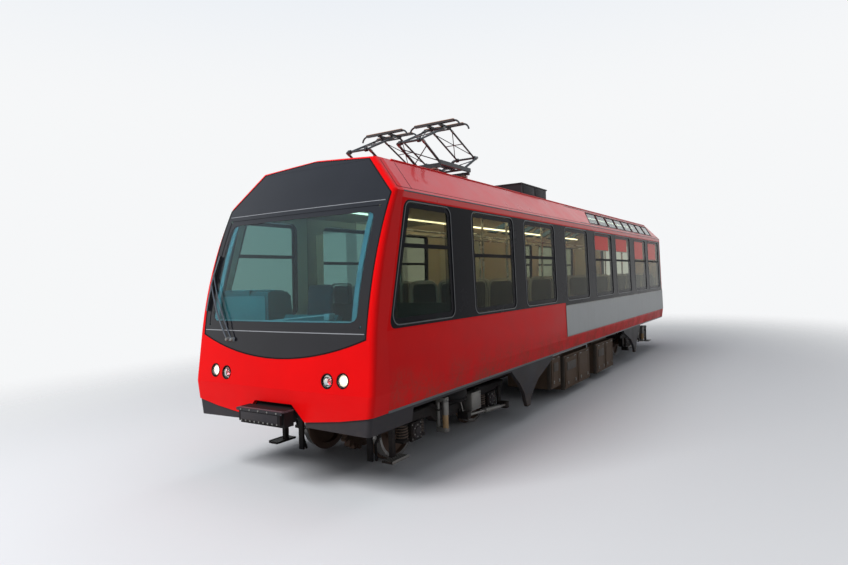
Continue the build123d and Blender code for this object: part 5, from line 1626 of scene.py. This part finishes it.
def stage_floor():
    """A pale floor under the flanges that fades out before its horizon, and the world's light."""
    mesh = bpy.data.meshes.new("floor")
    sheet = rect((-FLOOR_REACH, -FLOOR_REACH), (FLOOR_REACH, FLOOR_REACH))
    corners = [(x, y, FLOOR_LEVEL) for x, y in sheet]
    mesh.from_pydata(corners, [], [(0, 1, 2, 3)])
    floor = bpy.data.objects.new("floor", mesh)
    bpy.context.scene.collection.objects.link(floor)
    tree, surface = new_finish(
        "floor", Base_Color=(0.62, 0.63, 0.65, 1.0), Roughness=0.9, Specular_IOR_Level=0.1,
    )
    round_car = node(tree, "ShaderNodeMapping", {
        "Vector": object_place(tree), "Scale": (1.0, 0.55, 1.0),
    })
    away = node(tree, "ShaderNodeVectorMath", {0: round_car.outputs["Vector"]}, operation="LENGTH")
    fade = ranged(tree, away.outputs["Value"], 3.6, 12.0, 1.0, 0.0, interpolation_type="SMOOTHSTEP")
    tree.links.new(fade, surface["Alpha"])
    mesh.materials.append(FINISHES["floor"])
    world = bpy.data.worlds.new("studio")
    bpy.context.scene.world = world
    world.use_nodes = True
    tree = world.node_tree
    rays = node(tree, "ShaderNodeLightPath").outputs
    seen = sums(tree, "MAXIMUM", rays["Is Camera Ray"], rays["Is Glossy Ray"])
    seen = sums(tree, "MAXIMUM", seen, rays["Is Transmission Ray"])
    way = node(tree, "ShaderNodeTexCoord").outputs["Generated"]
    rise = ranged(tree, parts_of(tree, way)["Z"], 0.25, 0.80, interpolation_type="SMOOTHSTEP")
    sky = mixed(tree, rise, (0.92, 0.93, 0.94), (0.62, 0.72, 0.86))
    shade = mixed(tree, seen, (0.26, 0.27, 0.29), sky)
    tree.links.new(shade, tree.nodes["Background"].inputs["Color"])


def placed(name, data, place, right, top, away):
    """A new object at a place, its own axes along three directions."""
    made = bpy.data.objects.new(name, data)
    bpy.context.scene.collection.objects.link(made)
    rows = np.stack([right, top, away, place], -1).tolist()
    made.matrix_world = Matrix([*rows, [0, 0, 0, 1]])
    return made


def lamp(name, place, aim, size, watts):
    """A square soft lamp at a place, turned towards a point."""
    data = bpy.data.lights.new(name, "AREA")
    data.shape = "SQUARE"
    data.size = size
    data.energy = watts
    away = unit(np.subtract(place, aim))
    right = unit(np.cross((0, 0, 1), away))
    placed(name, data, place, right, np.cross(away, right), away).visible_glossy = False


CAMERA_PLACE = (4.70, -11.18, 2.138)
CAMERA_YAW = 32.69
CAMERA_DOWN = 0.38
CAMERA_ROLL = -1.76
CAMERA_LENS = 25.09
CAMERA_SENSOR = 36.0


def camera():
    """The photograph's view: turned by yaw about Z, tipped down, then rolled about its axis."""
    yaw, down, roll = np.radians([CAMERA_YAW, CAMERA_DOWN, CAMERA_ROLL])
    ahead = np.array([-np.sin(yaw) * np.cos(down), np.cos(yaw) * np.cos(down), -np.sin(down)])
    flat = np.array([np.cos(yaw), np.sin(yaw), 0.0])
    above = np.cross(flat, ahead)
    right = np.cos(roll) * flat + np.sin(roll) * above
    top = -np.sin(roll) * flat + np.cos(roll) * above
    data = bpy.data.cameras.new("camera")
    data.lens = CAMERA_LENS
    data.sensor_width = CAMERA_SENSOR
    data.clip_end = 500.0
    bpy.context.scene.camera = placed("camera", data, CAMERA_PLACE, right, top, -ahead)


class RAILCAR_OT_finishes(bpy.types.Operator):
    """Gives every part of the car its finish"""

    bl_idname = "railcar.finishes"
    bl_label = "Finishes"

    def execute(self, context):
        give_finish()
        return {"FINISHED"}


class RAILCAR_OT_sides(bpy.types.Operator):
    """Adds seals, borders, bars and edge lines to the sides"""

    bl_idname = "railcar.sides"
    bl_label = "Side trim"

    def execute(self, context):
        side_windows()
        side_trim()
        return {"FINISHED"}


class RAILCAR_OT_front(bpy.types.Operator):
    """Adds lines, lamps, wiper and coupler parts to the front"""

    bl_idname = "railcar.front"
    bl_label = "Front"

    def execute(self, context):
        front_trim()
        lamps()
        wiper()
        coupler_detail()
        return {"FINISHED"}


class RAILCAR_OT_roof(bpy.types.Operator):
    """Adds seams, seals, insulators, cables and covers to the roof"""

    bl_idname = "railcar.roof"
    bl_label = "Roof"

    def execute(self, context):
        glazing_seals()
        roof_trim()
        roof_gear()
        return {"FINISHED"}


class RAILCAR_OT_collectors(bpy.types.Operator):
    """Adds collars, cross bars, strips and horns to the current collectors"""

    bl_idname = "railcar.collectors"
    bl_label = "Collectors"

    def execute(self, context):
        collectors()
        return {"FINISHED"}


class RAILCAR_OT_underfloor(bpy.types.Operator):
    """Adds door ribs, latches, straps and pipes under the floor"""

    bl_idname = "railcar.underfloor"
    bl_label = "Underfloor"

    def execute(self, context):
        case_doors()
        solebar_pipes()
        return {"FINISHED"}


class RAILCAR_OT_bogies(bpy.types.Operator):
    """Adds springs, dampers, covers and pipes to the bogies, and bright treads to the wheels"""

    bl_idname = "railcar.bogies"
    bl_label = "Bogies"

    def execute(self, context):
        bogies()
        treads()
        return {"FINISHED"}


class RAILCAR_OT_interior(bpy.types.Operator):
    """Adds seats, blinds, light housings and the driver's place"""

    bl_idname = "railcar.interior"
    bl_label = "Interior"

    def execute(self, context):
        seats()
        desk_detail()
        screen_frames()
        driver_place()
        blinds()
        ceiling()
        return {"FINISHED"}


class RAILCAR_OT_ends(bpy.types.Operator):
    """Adds the bellows, the gangway frames and the door fittings"""

    bl_idname = "railcar.ends"
    bl_label = "Gangway and doors"

    def execute(self, context):
        gangway()
        doors()
        return {"FINISHED"}


class RAILCAR_OT_stage(bpy.types.Operator):
    """Adds the floor, the lamps and the camera"""

    bl_idname = "railcar.stage"
    bl_label = "Stage"

    def execute(self, context):
        stage_floor()
        for row in STUDIO_LAMPS:
            lamp(*row)
        camera()
        context.scene.view_settings.view_transform = "Standard"
        return {"FINISHED"}


class RAILCAR_PT_panel(bpy.types.Panel):
    """Sidebar list of the car's operators, colours and sizes"""

    bl_idname = "RAILCAR_PT_panel"
    bl_label = "Rack railway car"
    bl_space_type = "VIEW_3D"
    bl_region_type = "UI"
    bl_category = "Railcar"

    def draw(self, context):
        for operator in OPERATORS:
            self.layout.operator(operator.bl_idname)
        for settings in (context.scene.car_colours, context.scene.car_sizes):
            for key in settings.__annotations__:
                self.layout.prop(settings, key)


OPERATORS = [
    RAILCAR_OT_finishes, RAILCAR_OT_front, RAILCAR_OT_sides, RAILCAR_OT_roof,
    RAILCAR_OT_collectors, RAILCAR_OT_underfloor, RAILCAR_OT_bogies, RAILCAR_OT_interior,
    RAILCAR_OT_ends, RAILCAR_OT_stage,
]
CLASSES = [CarColours, CarSizes, *OPERATORS, RAILCAR_PT_panel]


def register():
    """Registers the classes and hangs the settings on the scene."""
    for one in CLASSES:
        bpy.utils.register_class(one)
    bpy.types.Scene.car_colours = PointerProperty(type=CarColours)
    bpy.types.Scene.car_sizes = PointerProperty(type=CarSizes)


def unregister():
    """Takes the settings and the classes away again."""
    del bpy.types.Scene.car_sizes
    del bpy.types.Scene.car_colours
    for one in reversed(CLASSES):
        bpy.utils.unregister_class(one)


def main():
    """Builds the dressed car."""
    register()
    bpy.ops.railcar.finishes()
    bpy.ops.railcar.front()
    bpy.ops.railcar.sides()
    bpy.ops.railcar.roof()
    bpy.ops.railcar.collectors()
    bpy.ops.railcar.underfloor()
    bpy.ops.railcar.bogies()
    bpy.ops.railcar.interior()
    bpy.ops.railcar.ends()
    bpy.ops.railcar.stage()


if __name__ == "__main__":
    main()
